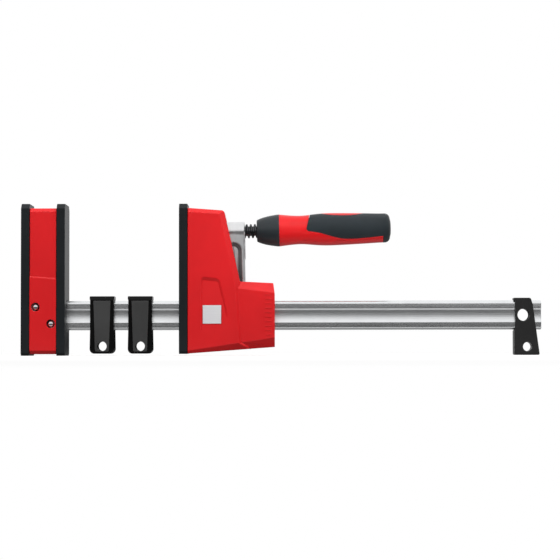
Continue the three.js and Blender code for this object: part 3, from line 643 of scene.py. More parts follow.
def dress_node(node: str, finish: Finish) -> None:
    """Gives a carried-over node its finish."""
    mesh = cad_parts[node].data
    mesh.materials.clear()
    mesh.materials.append(finish.material())
    log.info("%s: carried over", node)


@dataclass(frozen=True)
class RailBar:
    """The drawn bar with a hollow groove on both wide sides and the end clip's hole."""

    left: float = -247.0
    right: float = 255.5
    bottom: float = 25.0
    top: float = 54.0
    half: float = 4.5
    edge_radius: float = 3.3
    groove_half: float = 6.8
    wall_rise: float = 1.5  # of the groove's walls
    rim_depth: float = 0.8  # where wall and floor meet
    middle_depth: float = 2.0
    wall_round: float = 0.45
    floor_round: float = 5.6
    clip_hole: Pair = (237.8, 39.5)
    clip_hole_radius: float = 7.4  # wider than the clip's, which hides its bright wall
    pin_places: tuple[Pair, ...] = JAW_PINS
    pin_hole_radius: float = 3.3
    end_chamfer: float = 0.6

    def section(self) -> Outline:
        """The bar's outline in Y and Z, with each corner's rounding."""
        middle = (self.bottom + self.top) / 2
        height = (self.top - self.bottom) / 2
        rim_half = self.groove_half - self.wall_rise
        corners: list[tuple[float, ...]] = []
        for sign in (1, -1):
            face, rim = sign * self.half, sign * (self.half - self.rim_depth)
            corners += [
                (face, middle - sign * height, self.edge_radius),
                (face, middle - sign * self.groove_half, self.wall_round),
                (rim, middle - sign * rim_half, self.wall_round),
                (sign * (self.half - self.middle_depth), middle, self.floor_round),
                (rim, middle + sign * rim_half, self.wall_round),
                (face, middle + sign * self.groove_half, self.wall_round),
                (face, middle + sign * height, self.edge_radius),
            ]
        return corners

    def build(self, finishes: Finishes) -> None:
        """Models and dresses the bar."""
        bar = prism(self.section(), Axis.X, (self.left, self.right))
        through = 4 * self.half
        holes = [cross_hole(self.pin_hole_radius, x, z, through) for x, z in self.pin_places]
        holes.append(cross_hole(self.clip_hole_radius, *self.clip_hole, through))
        placed(combined(bar, Way.CUT, *holes),
               Place("rail_bar", "rail_and_fixed_jaw", "rail_steel", ("rail",)), finishes.rail,
               edge=self.end_chamfer, segments=2, angle=50.0)


@dataclass(frozen=True)
class FixedJaw:
    """The jaw that is pinned to the rail: two red covers, two black faces and two pins."""

    body: str = "rail_and_fixed_jaw"
    cover_span: Pair = (-247.0, -221.0)
    cover_bottom: float = 1.5
    cover_top: float = 144.6
    lower_face: float = 19.5
    upper_face: float = 18.8
    parting: float = 0.1
    wall: float = 3.0
    bevel: float = 3.4
    ledge: float = 76.0
    ledge_slant: float = 2.0
    recess_radius: float = 4.2
    pin_places: tuple[Pair, ...] = JAW_PINS
    pin_radius: float = 3.0
    pin_half: float = 18.3
    pin_dome: float = 1.6
    pad_spans: tuple[Pair, ...] = ((-255.5, -247.3), (-220.7, -212.5))
    rail_clearance: float = 0.3

    def cover(self, side: Side) -> BMesh:
        """One cover: a C section along the jaw, with a slanting ledge and pin recesses."""
        sign = side.value
        inner = self.upper_face - self.wall
        step = self.lower_face - self.upper_face
        corners = [
            (self.parting, self.cover_bottom), (self.lower_face - self.bevel, self.cover_bottom),
            (self.lower_face, self.cover_bottom + self.bevel), (self.lower_face, self.ledge),
            (self.upper_face, self.ledge + step), (self.upper_face, self.cover_top - self.bevel),
            (self.upper_face - self.bevel, self.cover_top), (self.parting, self.cover_top),
            (self.parting, self.cover_top - self.wall), (inner, self.cover_top - self.wall),
            (inner, self.cover_bottom + self.wall), (self.parting, self.cover_bottom + self.wall),
        ]
        shell = prism([(sign * y, z) for y, z in corners], Axis.X, self.cover_span)
        middle = sum(self.cover_span) / 2
        for vert in shell.verts:
            if abs(vert.co.z - self.ledge) < 2 * step:
                vert.co.z += math.copysign(self.ledge_slant / 2, middle - vert.co.x)
        recesses = [cross_hole(self.recess_radius, x, z, 3 * self.lower_face)
                    for x, z in self.pin_places]
        return combined(shell, Way.CUT, *recesses)

    def pin(self) -> BMesh:
        """A pin along X with a dome at each end."""
        dome = [(-self.pin_half + self.pin_dome * (1 - math.cos(angle)),
                 self.pin_radius * math.sin(angle)) for angle in quarter_turn()]
        return turned(dome + [(-x, radius) for x, radius in reversed(dome)], sides=48)

    def build(self, finishes: Finishes) -> None:
        """Models and dresses the jaw."""
        for side in Side:
            place = Place(f"fixed_jaw_{side.word}_cover", self.body, "red_cover",
                          (f"fixed_jaw_{side.word}_shell",))
            placed(self.cover(side), place, finishes.cover, edge=0.45)
        for (x, z), name in zip(self.pin_places, ("upper", "lower")):
            turn = Matrix.Translation((x, 0, z)) @ Matrix.Rotation(math.pi / 2, 4, "Z")
            place = Place(f"{name}_pin", self.body, "pin_steel", (f"{name}_jaw_pin",))
            placed(self.pin(), place, finishes.pin, matrix=turn, angle=50.0)
        for span, name, room in zip(self.pad_spans, ("outer", "inner"),
                                    (None, self.rail_clearance)):
            place = Place(f"fixed_jaw_{name}_face", self.body, "pad_black",
                          (f"fixed_jaw_{name}_pad",))
            placed(JawPad(span).solid(room), place, finishes.pad, edge=0.5)
        dress_node("fixed_jaw_core", finishes.core)


@dataclass(frozen=True)
class JawPad:
    """A moulded jaw face: a plate with cut corners."""

    span: Pair
    low: float = 0.0
    half: float = 20.0
    height: float = 149.0
    corner: float = 4.6
    rail: Triple = (4.5, 25.0, 54.0)  # its half thickness, its bottom and its top

    def solid(self, clearance: float | None) -> BMesh:
        """Makes the plate.

        Args:
            clearance: free space round the rail, or None where the rail doesn't pass.

        Returns:
            The plate.
        """
        foot, top = self.corner / 2, self.corner
        corners = [
            (-self.half + foot, self.low), (self.half - foot, self.low),
            (self.half, self.low + foot), (self.half, self.height - top),
            (self.half - top, self.height), (top - self.half, self.height),
            (-self.half, self.height - top), (-self.half, self.low + foot),
        ]
        plate = prism(corners, Axis.X, self.span)
        if clearance is None:
            return plate
        half, bottom, rail_top = self.rail
        slot = block(
            (self.span[0] - BEYOND, -half - clearance, bottom - clearance),
            (self.span[1] + BEYOND, half + clearance, rail_top + clearance))
        return combined(plate, Way.CUT, slot)


@dataclass(frozen=True)
class RailSupport:
    """A saddle that snaps over the rail: a glossy frame with a matt panel on each side."""

    number: int
    left: float
    length: float = 24.4
    half: float = 9.0
    low: float = 1.9
    plate_under: float = 54.4
    top: float = 58.4
    ridge: float = 1.2
    waist: float = 0.5
    corner: float = 4.8
    top_round: float = 0.6
    excess: float = 1.0  # by which its two extrusions reach past each other
    brow: float = 1.3  # by which the top plate's edge leans back
    brow_rise: float = 0.3  # of the brow's foot over the plate's underside
    slot_half: float = 4.9
    lip: float = 1.5
    lip_low: float = 22.0
    lip_high: float = 24.6
    panel_half: float = 8.5
    panel_taper: float = 1.6
    panel_rounds: Pair = (1.6, 0.6)  # of its foot's and its head's corners
    panel_gap: float = 0.5  # under the top plate
    panel_proud: float = 0.6
    panel_seat: float = 0.6
    panel_low: float = 3.8
    hole_radius: float = 4.7
    hole_height: float = 9.2

    @property
    def centre(self) -> float:
        """The middle along the rail."""
        return self.left + self.length / 2

    def saddle(self) -> BMesh:
        """The body round the rail, waisted in side view."""
        half, slot, low = self.half, self.slot_half, self.low
        brow_foot = self.plate_under + self.brow_rise
        section = [
            (-half, low), (-slot, low), (-slot, self.lip_low),
            (-slot + self.lip, self.lip_high - self.lip), (-slot + self.lip, self.lip_high),
            (-slot, self.lip_high), (-slot, self.plate_under), (slot, self.plate_under),
            (slot, self.lip_high), (slot - self.lip, self.lip_high),
            (slot - self.lip, self.lip_high - self.lip), (slot, self.lip_low), (slot, low),
            (half, low), (half, brow_foot), (half - self.brow, self.top),
            (self.brow - half, self.top), (-half, brow_foot),
        ]
        left, right = self.left, self.left + self.length
        middle = self.plate_under / 2
        side = [
            (left, low, self.corner), (right, low, self.corner), (right - self.waist, middle),
            (right - self.waist, self.plate_under), (right, self.plate_under + self.ridge),
            (right, self.top, self.top_round), (left, self.top, self.top_round),
            (left, self.plate_under + self.ridge), (left + self.waist, self.plate_under),
            (left + self.waist, middle),
        ]
        body = prism(section, Axis.X, (left - self.excess, right + self.excess))
        return combined(body, Way.COMMON, slab(side, half + self.excess))

    def panel(self, side: Side) -> BMesh:
        """The raised matt panel on one side, narrower at its foot."""
        centre, foot, head = self.centre, self.panel_half - self.panel_taper, self.panel_half
        high = self.plate_under - self.panel_gap
        foot_round, head_round = self.panel_rounds
        corners = [
            (centre - foot, self.panel_low, foot_round),
            (centre + foot, self.panel_low, foot_round),
            (centre + head, high, head_round), (centre - head, high, head_round),
        ]
        return prism(corners, Axis.Y,
                     side.span(self.half - self.panel_seat, self.half + self.panel_proud))

    def hole(self) -> BMesh:
        """The tool for the cross hole."""
        return cross_hole(self.hole_radius, self.centre, self.hole_height, 4 * self.half)

    def build(self, finishes: Finishes) -> None:
        """Models and dresses the support."""
        body, nodes = f"support_{self.number}", (f"rail_support_{self.number}",)
        seats = [self.panel(side) for side in Side]
        # The frame takes the near-black finish: painted shade of the flanks.
        placed(combined(self.saddle(), Way.CUT, self.hole(), *seats),
               Place(f"support_{self.number}_saddle", body, "foot_black", nodes),
               finishes.saddle, edge=0.35)
        for side in Side:
            placed(combined(self.panel(side), Way.CUT, self.hole()),
                   Place(f"support_{self.number}_{side.word}_panel", body, "foot_black", nodes),
                   finishes.support, edge=0.4)


@dataclass(frozen=True)
class EndClip:
    """The clip at the rail's free end, with its two cross holes."""

    left: float = 228.5
    top_length: float = 16.4
    bottom_length: float = 25.0
    top: float = 56.3
    shoulder_drop: float = 6.6
    shoulder_out: float = 2.0
    shoulder_round: float = 1.2
    recess: float = 1.1
    recess_ends: Pair = (0.3, 0.6)  # inside the rail's opening, at its foot and its head
    half: float = 7.0
    corner: float = 1.6
    back_round: float = 0.5
    rail: Triple = (4.8, 24.7, 54.3)  # half width, foot and head of the rail's opening
    upper_hole: Triple = (6.0, 237.8, 39.5)  # radius, X and Z
    lower_hole: Triple = (4.5, 241.5, 8.2)

    def outline(self) -> Outline:
        """The clip's side outline."""
        left, shoulder = self.left, self.left + self.top_length + self.shoulder_out
        _, bottom, top = self.rail
        low, high = bottom + self.recess_ends[0], top - self.recess_ends[1]
        return [
            (left, 0, self.corner), (left + self.bottom_length, 0, self.corner),
            (shoulder, self.top - self.shoulder_drop, self.shoulder_round),
            (left + self.top_length, self.top, self.corner), (left, self.top, self.back_round),
            (left, top), (left + self.recess, high), (left + self.recess, low),
            (left, low - self.recess),
        ]

    def build(self, finishes: Finishes) -> None:
        """Models and dresses the clip."""
        across, bottom, top = self.rail
        opening = block((self.left - BEYOND, -across, bottom),
                        (self.left + 2 * self.bottom_length, across, top))
        holes = [cross_hole(*hole, 4 * self.half) for hole in (self.upper_hole, self.lower_hole)]
        clip = combined(slab(self.outline(), self.half), Way.CUT, opening, *holes)
        placed(clip, Place("rail_end_clip", "rail_and_fixed_jaw", "clip_black", ("end_clip",)),
               finishes.clip, edge=0.45, angle=40.0)


@dataclass(frozen=True)
class JawHousing:
    """The sliding jaw's moulded cover: a tall wedge on a box that runs along the rail."""

    body: str = "sliding_jaw"
    wedge: tuple[Pair, ...] = (
        (-92.4, 1.9), (-31.4, 6.4), (-37.0, 13.4), (-41.2, 72.6), (-56.8, 142.3),
        (-92.4, 144.9))
    wedge_half: float = 19.4
    peak_flat: tuple[Triple, ...] = (
        (-58.4, 0.0, 142.4), (-56.4, 0.0, 140.7), (-58.4, 10.0, 142.4))
    top_bevel: float = 4.0
    back_bevel: float = 5.2
    inside: Triple = (-60.0, 0.0, 40.0)  # a point that no facet takes away
    box: tuple[Pair, ...] = (
        (-58.0, 4.5), (-7.2, 8.2), (-7.2, 60.6), (-8.6, 71.0), (-58.0, 73.4))
    box_half: float = 17.0
    box_top_facet: tuple[Triple, ...] = (
        (-45.1, 17.0, 66.0), (-7.2, 17.0, 61.3), (-7.2, 11.0, 70.9))
    wedge_foot_facet: tuple[Triple, ...] = (
        (-92.4, 19.4, 4.7), (-44.6, 19.4, 12.0), (-92.4, 17.5, 1.9))
    box_foot_facet: tuple[Triple, ...] = (
        (-58.0, 17.0, 9.9), (-7.2, 17.0, 17.7), (-7.2, 11.5, 8.2))
    wedge_room: tuple[Pair, ...] = (
        (-98.0, 4.6), (-39.4, 8.9), (-44.2, 72.0), (-59.2, 139.4), (-98.0, 142.2))
    wedge_room_half: float = 16.4
    box_room: tuple[Pair, ...] = (
        (-58.0, 7.5), (-11.6, 10.9), (-11.6, 68.1), (-58.0, 70.4))
    box_room_half: float = 14.0
    box_room_bevel: float = 4.5
    slot: tuple[Triple, Triple] = (
        (-62.8, -10.3, 64.9), (-22.1, 10.3, 134.3))
    rail_hole: tuple[Triple, Triple] = (
        (-16.2, -5.3, 24.2), (-2.2, 5.3, 54.8))
    hollow: tuple[Triple, ...] = (
        (-79.6, 22.0, 2.6), (-49.2, 22.0, 2.6), (-52.5, 36.6, 6.0), (-61.4, 75.2, 3.4),
        (-79.4, 77.4, 3.4))
    hollow_wall: float = 1.5
    hollow_depth: float = 1.8
    hollow_brow: float = 1.8
    hollow_foot: float = 0.04  # share of the depth that is left at the hollow's foot
    badge: tuple[float, float, float, float] = (-77.6, -59.6, 31.1, 49.1)
    badge_faces: Pair = (18.4, 19.7)
    badge_gap: float = 0.3
    ribs: Pair = (-16.9, -10.1)
    rib_count: int = 10
    rib_rise: Pair = (20.0, 59.1)
    rib_height: float = 0.9
    rib_faces: Pair = (16.5, 17.4)
    first_rib_cut: float = 1.6  # by which the lowest rib starts later
    pad_span: Pair = (-100.9, -92.7)
    pad_low: float = 1.6
    pad_clearance: float = 0.4

    def shape(self) -> BMesh:
        """The outside of the cover, with its facets."""
        wedge = slab(self.wedge, self.wedge_half)
        ends = {(round(u, 1), round(v, 1)) for u, v in self.wedge[-2:]}
        rim = [edge for edge in wedge.edges if ends == {
            (round(vert.co.x, 1), round(vert.co.z, 1)) for vert in edge.verts}]
        chamfered(wedge, rim, self.top_bevel)
        chamfered(wedge, [edge for edge in wedge.edges if self.on_back(edge)],
                  self.back_bevel)
        wedge = sliced(wedge, self.peak_flat, self.inside)
        box = self.faceted(slab(self.box, self.box_half), self.box_top_facet,
                           self.box_foot_facet)
        return combined(self.faceted(wedge, self.wedge_foot_facet), Way.JOIN, box)

    def faceted(self, solid: BMesh, *facets: tuple[Triple, ...]) -> BMesh:
        """The solid with facets cut on both wide sides."""
        for facet in facets:
            for side in Side:
                solid = sliced(solid, [(x, side.value * y, z) for x, y, z in facet],
                               self.inside)
        return solid

    def on_back(self, edge: BMEdge) -> bool:
        """Whether an edge of the wedge lies on a wide side, along the wedge's back."""
        peak = self.wedge[-2]
        ends = [vert.co for vert in edge.verts]
        if any(abs(abs(end.y) - self.wedge_half) > MERGE for end in ends):
            return False
        return all(end.x > peak[0] - self.top_bevel and end.z < peak[1] for end in ends) and (
            abs(ends[0].z - ends[1].z) > self.top_bevel)

    def hollow_tool(self, side: Side) -> BMesh:
        """The tool for the shallow hollow over the badge, which runs out at its foot."""
        tool, floor = sunk_tool(self.hollow, self.wedge_half, side, self.hollow_wall,
                                self.hollow_depth)
        heights = [z for _, z, _ in self.hollow]
        for vert in floor.verts:
            share = (vert.co.z - min(heights)) / (max(heights) - min(heights))
            depth = self.hollow_depth * max(share, self.hollow_foot)
            vert.co.y = side.value * (self.wedge_half - depth)
            vert.co.z -= self.hollow_brow * share * share
        return tool

    def badge_block(self, side: Side, clearance: float) -> BMesh:
        """The badge's plate, or with a clearance the open pocket that it sits in."""
        left, right, low, high = self.badge
        inner, outer = self.badge_faces
        back, front = side.span(inner - clearance, outer + (BEYOND if clearance else 0.0))
        return block((left - clearance, back, low - clearance),
                     (right + clearance, front, high + clearance))

    def cover(self) -> BMesh:
        """The cover with its room, openings and hollows."""
        box_room = slab(self.box_room, self.box_room_half)
        chamfered(box_room, long_edges(box_room, Axis.X), self.box_room_bevel)
        tools = [slab(self.wedge_room, self.wedge_room_half), box_room, block(*self.slot),
                 block(*self.rail_hole)]
        for side in Side:
            tools += [self.hollow_tool(side), self.badge_block(side, self.badge_gap)]
        return combined(self.shape(), Way.CUT, *tools)

    def rib_set(self, side: Side) -> BMesh:
        """The fine ribs near the box's end."""
        (left, right), (first, last) = self.ribs, self.rib_rise
        back, front = side.span(*self.rib_faces)
        ribs = bmesh.new()
        for index in range(self.rib_count):
            low = first + (last - first) * index / (self.rib_count - 1)
            start = left if index else left + self.first_rib_cut
            block((start, back, low), (right, front, low + self.rib_height), ribs)
        return ribs

    def build(self, finishes: Finishes) -> None:
        """Models and dresses the cover, its badges, its ribs and what slides inside it."""
        nodes = ("sliding_jaw_housing",)
        placed(self.cover(), Place("sliding_jaw_cover", self.body, "red_cover", nodes),
               finishes.cover, edge=0.45, angle=20.0)
        for side in Side:
            placed(self.badge_block(side, 0.0),
                   Place(f"{side.word}_badge_plate", self.body, "badge_grey",
                         (f"{side.word}_badge",)), finishes.badge, edge=0.2)
            placed(self.rib_set(side),
                   Place(f"{side.word}_thumb_ribs", self.body, "red_cover", nodes),
                   finishes.cover, edge=0.25)
        pad = JawPad(self.pad_span, low=self.pad_low).solid(self.pad_clearance)
        placed(pad, Place("sliding_jaw_face", self.body, "pad_black", ("sliding_jaw_pad",)),
               finishes.pad, edge=0.5)
        dress_node("thrust_plate", finishes.bright)
        for node in ("rail_guide_front", "rail_guide_rear"):
            dress_node(node, finishes.guide)


@dataclass(frozen=True)
class ClampArm:
    """The forged arm: a threaded boss on a pocketed web, with a foot round the rail."""

    boss_radius: float = 9.5
    boss: Pair = (22.0, 46.4)
    boss_chamfer: float = 0.8
    bore_radius: float = 7.35
    web: Pair = (25.0, 46.0)
    web_half: float = 9.1
    web_low: float = -63.7
    pocket: tuple[Triple, ...] = (
        (27.5, -57.0, 3.8), (43.2, -57.0, 3.8), (43.2, -11.0, 8.5), (27.5, -11.0, 8.5))
    pocket_wall: float = 3.6
    pocket_depth: float = 2.6
    foot: tuple[Pair, Pair] = ((-58.1, 14.9), (-32.1, 61.1))
    foot_half: float = 11.0
    foot_corner: float = 2.5
    rail_slot: Triple = (4.9, 22.9, 54.7)

    def in_pocket(self, face: BMFace) -> bool:
        """Whether a face lies wholly between a pocket's rim and its floor."""
        floor, rim = self.web_half - self.pocket_depth, self.web_half
        depths = [abs(vert.co.y) for vert in face.verts]
        inside = all(floor - MERGE < depth < rim + MERGE for depth in depths)
        return inside and max(depths) - min(depths) > self.pocket_depth / 2

    def build(self, finishes: Finishes) -> None:
        """Models and dresses the arm."""
        start, end = self.boss
        web = block((self.web[0], -self.web_half, self.web_low),
                    (self.web[1], self.web_half, 0))
        pockets = [sunk_tool(self.pocket, self.web_half, side, self.pocket_wall,
                             self.pocket_depth)[0] for side in Side]
        web = combined(web, Way.CUT, *pockets)
        chamfer, radius = self.boss_chamfer, self.boss_radius
        boss = turned([(start, 0), (start, radius - chamfer), (start + chamfer, radius),
                       (end - chamfer, radius), (end, radius - chamfer), (end, 0)], sides=72)
        bore = drum(self.bore_radius, ((start + end) / 2, 0, 0), 3 * (end - start), Axis.X)
        arm = combined(combined(web, Way.JOIN, boss), Way.CUT, bore)
        # The pockets' walls take the second, darker finish: painted shade of the recess.
        for face in arm.faces:
            face.material_index = int(self.in_pocket(face))
        bmesh.ops.transform(arm, matrix=SCREW_PLACE, verts=arm.verts)
        (left, low), (right, high) = self.foot
        corners = [(left, low), (right, low), (right, high), (left, high)]
        foot = slab([(*corner, self.foot_corner) for corner in corners], self.foot_half)
        half, bottom, top = self.rail_slot
        slot = block((left - BEYOND, -half, bottom), (right + BEYOND, half, top))
        arm = combined(arm, Way.JOIN, combined(foot, Way.CUT, slot))
        placed(arm, Place("forged_arm", "arm", "arm_cast", ("sliding_arm",)), finishes.arm,
               edge=0.6, angle=32.0, second=finishes.scale)


@dataclass(frozen=True)
class Screw:
    """The spindle with its ball, its rolled thread and its collar, about the ball's centre."""

    body: str = "screw"
    ball_radius: float = 5.0
    neck_radius: float = 3.5
    ball_steps: int = 14
    neck_end: float = 9.0
    root: float = 4.75
    crest: float = 7.0
    pitch: float = 4.0
    crest_length: float = 1.46
    flank: float = 0.6
    thread: Pair = (11.0, 60.0)
    shank_inset: float = 0.4  # of its end cone in the thread
    shank_gap: float = 0.3  # to the thread's root
    shank_end: float = 154.3
    collar_place: float = 58.3
    collar: tuple[Pair, ...] = (
        (0.0, 5.2), (0.0, 9.85), (0.4, 10.8), (1.4, 11.25), (3.5, 12.15), (6.0, 13.0),
        (8.5, 13.7), (11.1, 14.28), (14.0, 14.85), (17.0, 15.3), (19.6, 15.68), (20.7, 15.8),
        (22.2, 15.8), (22.2, 5.2))
    sides: int = 40
    fine_merge: float = 0.001  # mm within which the cut ends' points are one point

    def rolled_thread(self) -> BMesh:
        """The right-hand thread, cut square at both ends."""
        start, end = self.thread
        begin = start - self.pitch
        profile = [(0.0, self.root), (self.flank, self.crest),
                   (self.flank + self.crest_length, self.crest),
                   (2 * self.flank + self.crest_length, self.root), (self.pitch, self.root)]
        bm = bmesh.new()
        points = [bm.verts.new((begin + x, 0, radius)) for x, radius in profile]
        edges = [bm.edges.new(pair) for pair in zip(points, points[1:])]
        turns = math.ceil((end - begin) / self.pitch) + 1
        steps = turns * self.sides
        bmesh.ops.spin(bm, geom=points + edges, cent=(0, 0, 0), axis=(1, 0, 0),
                       dvec=(self.pitch / self.sides, 0, 0), angle=2 * math.pi * turns,
                       steps=steps, use_merge=False, use_duplicate=False)
        bmesh.ops.remove_doubles(bm, verts=bm.verts, dist=MERGE)
        for place, normal in ((start, (-1, 0, 0)), (end, (1, 0, 0))):
            cut_off(bm, (place, 0, 0), normal, dist=self.fine_merge)
        bmesh.ops.recalc_face_normals(bm, faces=bm.faces)
        return bm

    def shank(self) -> BMesh:
        """Ball, neck and the plain length inside thread and handle."""
        reach = math.acos(self.neck_radius / self.ball_radius)
        angles = [math.pi - (math.pi / 2 + reach) * step / self.ball_steps
                  for step in range(self.ball_steps + 1)]
        ball = [(self.ball_radius * math.cos(angle), self.ball_radius * math.sin(angle))
                for angle in angles]
        inner = self.root - self.shank_gap
        rest = [(self.neck_end, self.neck_radius), (self.thread[0] + self.shank_inset, inner),
                (self.shank_end, inner), (self.shank_end, 0)]
        return turned(ball + rest, sides=48)

    def build(self, finishes: Finishes) -> None:
        """Models and dresses the spindle, its cup and its collar."""
        placed(self.rolled_thread(),
               Place("screw_thread", self.body, "spindle_steel", ("spindle",)),
               finishes.thread, edge=0.15, segments=2, matrix=SCREW_PLACE)
        placed(self.shank(), Place("screw_shank", self.body, "spindle_steel", ("spindle",)),
               finishes.thread, matrix=SCREW_PLACE)
        closed = [(self.collar_place + x, radius) for x, radius in self.collar]
        placed(turned(closed + closed[:1]),
               Place("screw_collar", self.body, "collar_black", ("handle_collar",)),
               finishes.collar, edge=0.3, matrix=SCREW_PLACE, angle=35.0)
        dress_node("thrust_cup", finishes.bright)


@dataclass(frozen=True)
class Handle:
    """The two-part handle: a hard red core and a soft grip over it, with a key socket."""

    body: str = "screw"
    place: float = 58.3  # of the collar's face, from the ball's centre
    knots: tuple[Pair, ...] = (
        (22.2, 15.8), (42.96, 14.1), (71.0, 16.0), (122.0, 14.4))
    curve_steps: int = 12  # points from one knot to the next
    end: float = 133.0
    end_radius: float = 14.4
    crown: float = 1.6
    crown_points: tuple[Pair, ...] = ((0.75, 7.2), (0.4, 3.8))  # share of its rise, radius
    end_round: float = 5.0
    grip_start: tuple[Triple, ...] = (
        (48.3, -1.9, 3.2), (59.7, -3.5, 4.0), (77.4, -8.8, 4.0), (88.0, -10.7, 6.0),
        (102.6, -10.2, 6.0))
    grip_top: tuple[Triple, ...] = (
        (112.0, 18.0, 0.5), (106.0, 14.7, 3.0), (97.0, 13.1, 4.0), (85.0, 12.7, 4.0),
        (73.0, 13.5, 4.0), (62.0, 15.6, 2.0), (57.0, 18.0, 0.5), (53.6, 18.0, 0.5))
    grip_foot: float = -8.4  # of the lower edge where it meets the cap
    cap_start: float = 124.5
    cap_lean: float = 4.0  # by which the cap's upper edge starts earlier
    reach: float = 20.0  # of the tools from the axis
    zone_middle: float = 90.0  # from which the grip's room grows by the gap
    zone_half: Pair = (40.0, 14.0)  # half the grip's length and height
    skin: float = 2.4
    gap: float = 0.25
    shank_room: Pair = (5.05, 96.3)
    insert: Pair = (111.0, 132.2)
    insert_radius: float = 7.0
    socket_flats: float = 8.0
    socket_depth: float = 14.0

    def profile(self) -> list[Pair]:
        """Places and radii of the handle's body, from the collar to the crowned end."""
        points = [Vector(knot) for knot in self.knots]
        ends = [points[0], *points, points[-1]]
        curve: list[Vector] = []
        for before, start, stop, after in zip(ends, ends[1:], ends[2:], ends[3:]):
            # A sixth of the neighbours' distance makes a Catmull-Rom curve through the knots.
            handles = start + (stop - before) / 6, stop - (after - start) / 6
            curve += interpolate_bezier(start, *handles, stop, self.curve_steps)[:-1]
        shoulder = self.end - self.crown - self.end_round
        curve += [points[-1], Vector((shoulder, self.end_radius))]
        centre = Vector((shoulder, self.end_radius - self.end_round))
        for angle in quarter_turn()[1:]:
            curve.append(centre + self.end_round * Vector((math.sin(angle), math.cos(angle))))
        curve += [Vector((self.end - self.crown * share * share, radius))
                  for share, radius in self.crown_points]
        return [(point.x, point.y) for point in curve]

    def solid(self, shrink: float) -> BMesh:
        """The handle's body, smaller by a skin."""
        outside = [(x, radius - shrink) for x, radius in self.profile()]
        return turned([(outside[0][0], 0.0), *outside, (self.end - shrink, 0.0)])

    def zone(self, gap: float) -> BMesh:
        """What the soft grip fills, with a gap: side panels less the core under them."""
        far, stop = self.reach, self.end + BEYOND
        panels = slab([
            *self.grip_start, (self.cap_start, self.grip_foot), (self.cap_start, -far),
            (stop, -far), (stop, far), (self.cap_start - self.cap_lean, far), *self.grip_top,
        ], far)
        if gap:
            centre = Vector((self.zone_middle, 0.0, 0.0))
            length, height = (1 + gap / half for half in self.zone_half)
            grown = (Matrix.Translation(centre) @ Matrix.Diagonal((length, 1, height, 1))
                     @ Matrix.Translation(-centre))
            bmesh.ops.transform(panels, matrix=grown, verts=panels.verts)
        return combined(panels, Way.CUT, self.solid(self.skin + gap), whole=False)

    def tail(self, start: float) -> BMesh:
        """Everything from a place near the end on."""
        far = self.reach
        return block((start, -far, -far), (self.end + BEYOND, far, far))

    def bore(self, radius: float, start: float, stop: float) -> BMesh:
        """A round tool along the handle."""
        return drum(radius, ((start + stop) / 2, 0, 0), stop - start, Axis.X)

    def build(self, finishes: Finishes) -> None:
        """Models and dresses core, grip and key socket."""
        matrix = SCREW_PLACE @ Matrix.Translation((self.place, 0, 0))
        start, end = self.insert
        room, stop = self.insert_radius + self.gap, self.end + BEYOND
        core = combined(self.solid(0), Way.CUT, self.zone(self.gap),
                        self.tail(self.cap_start - self.gap),
                        self.bore(self.shank_room[0], 0, self.shank_room[1]),
                        self.bore(room, start - self.gap, stop), whole=False)
        placed(core, Place("handle_hard_core", self.body, "handle_red", ("handle_core",)),
               finishes.handle, matrix=matrix, angle=40.0)
        filled = combined(self.zone(0), Way.JOIN, self.tail(self.cap_start))
        grip = combined(self.solid(0), Way.COMMON, filled, whole=False)
        grip = combined(grip, Way.CUT, self.bore(room, 0, stop), whole=False)
        placed(grip, Place("handle_soft_grip", self.body, "grip_soft", ("handle_grip",)),
               finishes.grip, matrix=matrix, angle=40.0)
        socket = drum(self.socket_flats / math.sqrt(3), (end, 0, 0), 2 * self.socket_depth,
                      Axis.X, sides=6)
        insert = combined(self.bore(self.insert_radius, start, end), Way.CUT, socket)
        placed(insert, Place("key_socket", self.body, "spindle_steel", ("hex_drive_insert",)),
               finishes.bright, edge=0.4, matrix=matrix, angle=35.0)


def sheet(name: str, size: Pair, matrix: Matrix, material: Material) -> Object:
    """A flat sheet of the studio, in metres."""
    bm = bmesh.new()
    bmesh.ops.create_grid(bm, x_segments=1, y_segments=1, size=0.5)
    bmesh.ops.scale(bm, vec=(*size, 1), verts=bm.verts)
    bmesh.ops.transform(bm, matrix=matrix, verts=bm.verts)
    thing = linked(bm, name)
    thing.data.materials.append(material)
    return thing


@dataclass(frozen=True)
class Card:
    """A toned card that only mirror reflections see, as what stands round a real studio; two of
    them paint shade.
    """

    name: str
    place: Triple  # metres
    size: Pair
    turn: float  # about X, from lying flat
    tone: str
    spin: float = 0.0  # about Z

    def build(self) -> None:
        """Makes the card."""
        matrix = (Matrix.Translation(self.place)
                  @ Matrix.Rotation(math.radians(self.spin), 4, "Z")
                  @ Matrix.Rotation(math.radians(self.turn), 4, "X"))
        material = blank_material(f"{self.name}_paper")
        tree = material.node_tree
        glow = add_node(tree, "ShaderNodeEmission", {"Color": linear(self.tone)})
        add_node(tree, "ShaderNodeOutputMaterial", links={"Surface": glow.outputs[0]})
        card = sheet(self.name, self.size, matrix, material)
        card.visible_camera = False
        card.visible_diffuse = False
        card.visible_shadow = False
        card.visible_transmission = False


@dataclass(frozen=True)
class Lamp:
    """A soft area lamp that looks at a point of the clamp; metal mirrors the cards instead."""

    name: str
    place: Triple  # metres
    size: Pair
    power: float  # watts
    aim: Triple = (0.0, 0.0, 0.07)
    spread: float = 180.0  # degrees

    def build(self) -> None:
        """Makes the lamp."""
        light = bpy.data.lights.new(self.name, "AREA")
        light.shape = "RECTANGLE"
        light.size, light.size_y = self.size
        light.energy = self.power
        light.spread = math.radians(self.spread)
        lamp = bpy.data.objects.new(self.name, light)
        lamp.location = self.place
        way = Vector(self.aim) - Vector(self.place)
        lamp.rotation_euler = way.to_track_quat("-Z", "Y").to_euler()
        bpy.context.scene.collection.objects.link(lamp)
        lamp.visible_glossy = False


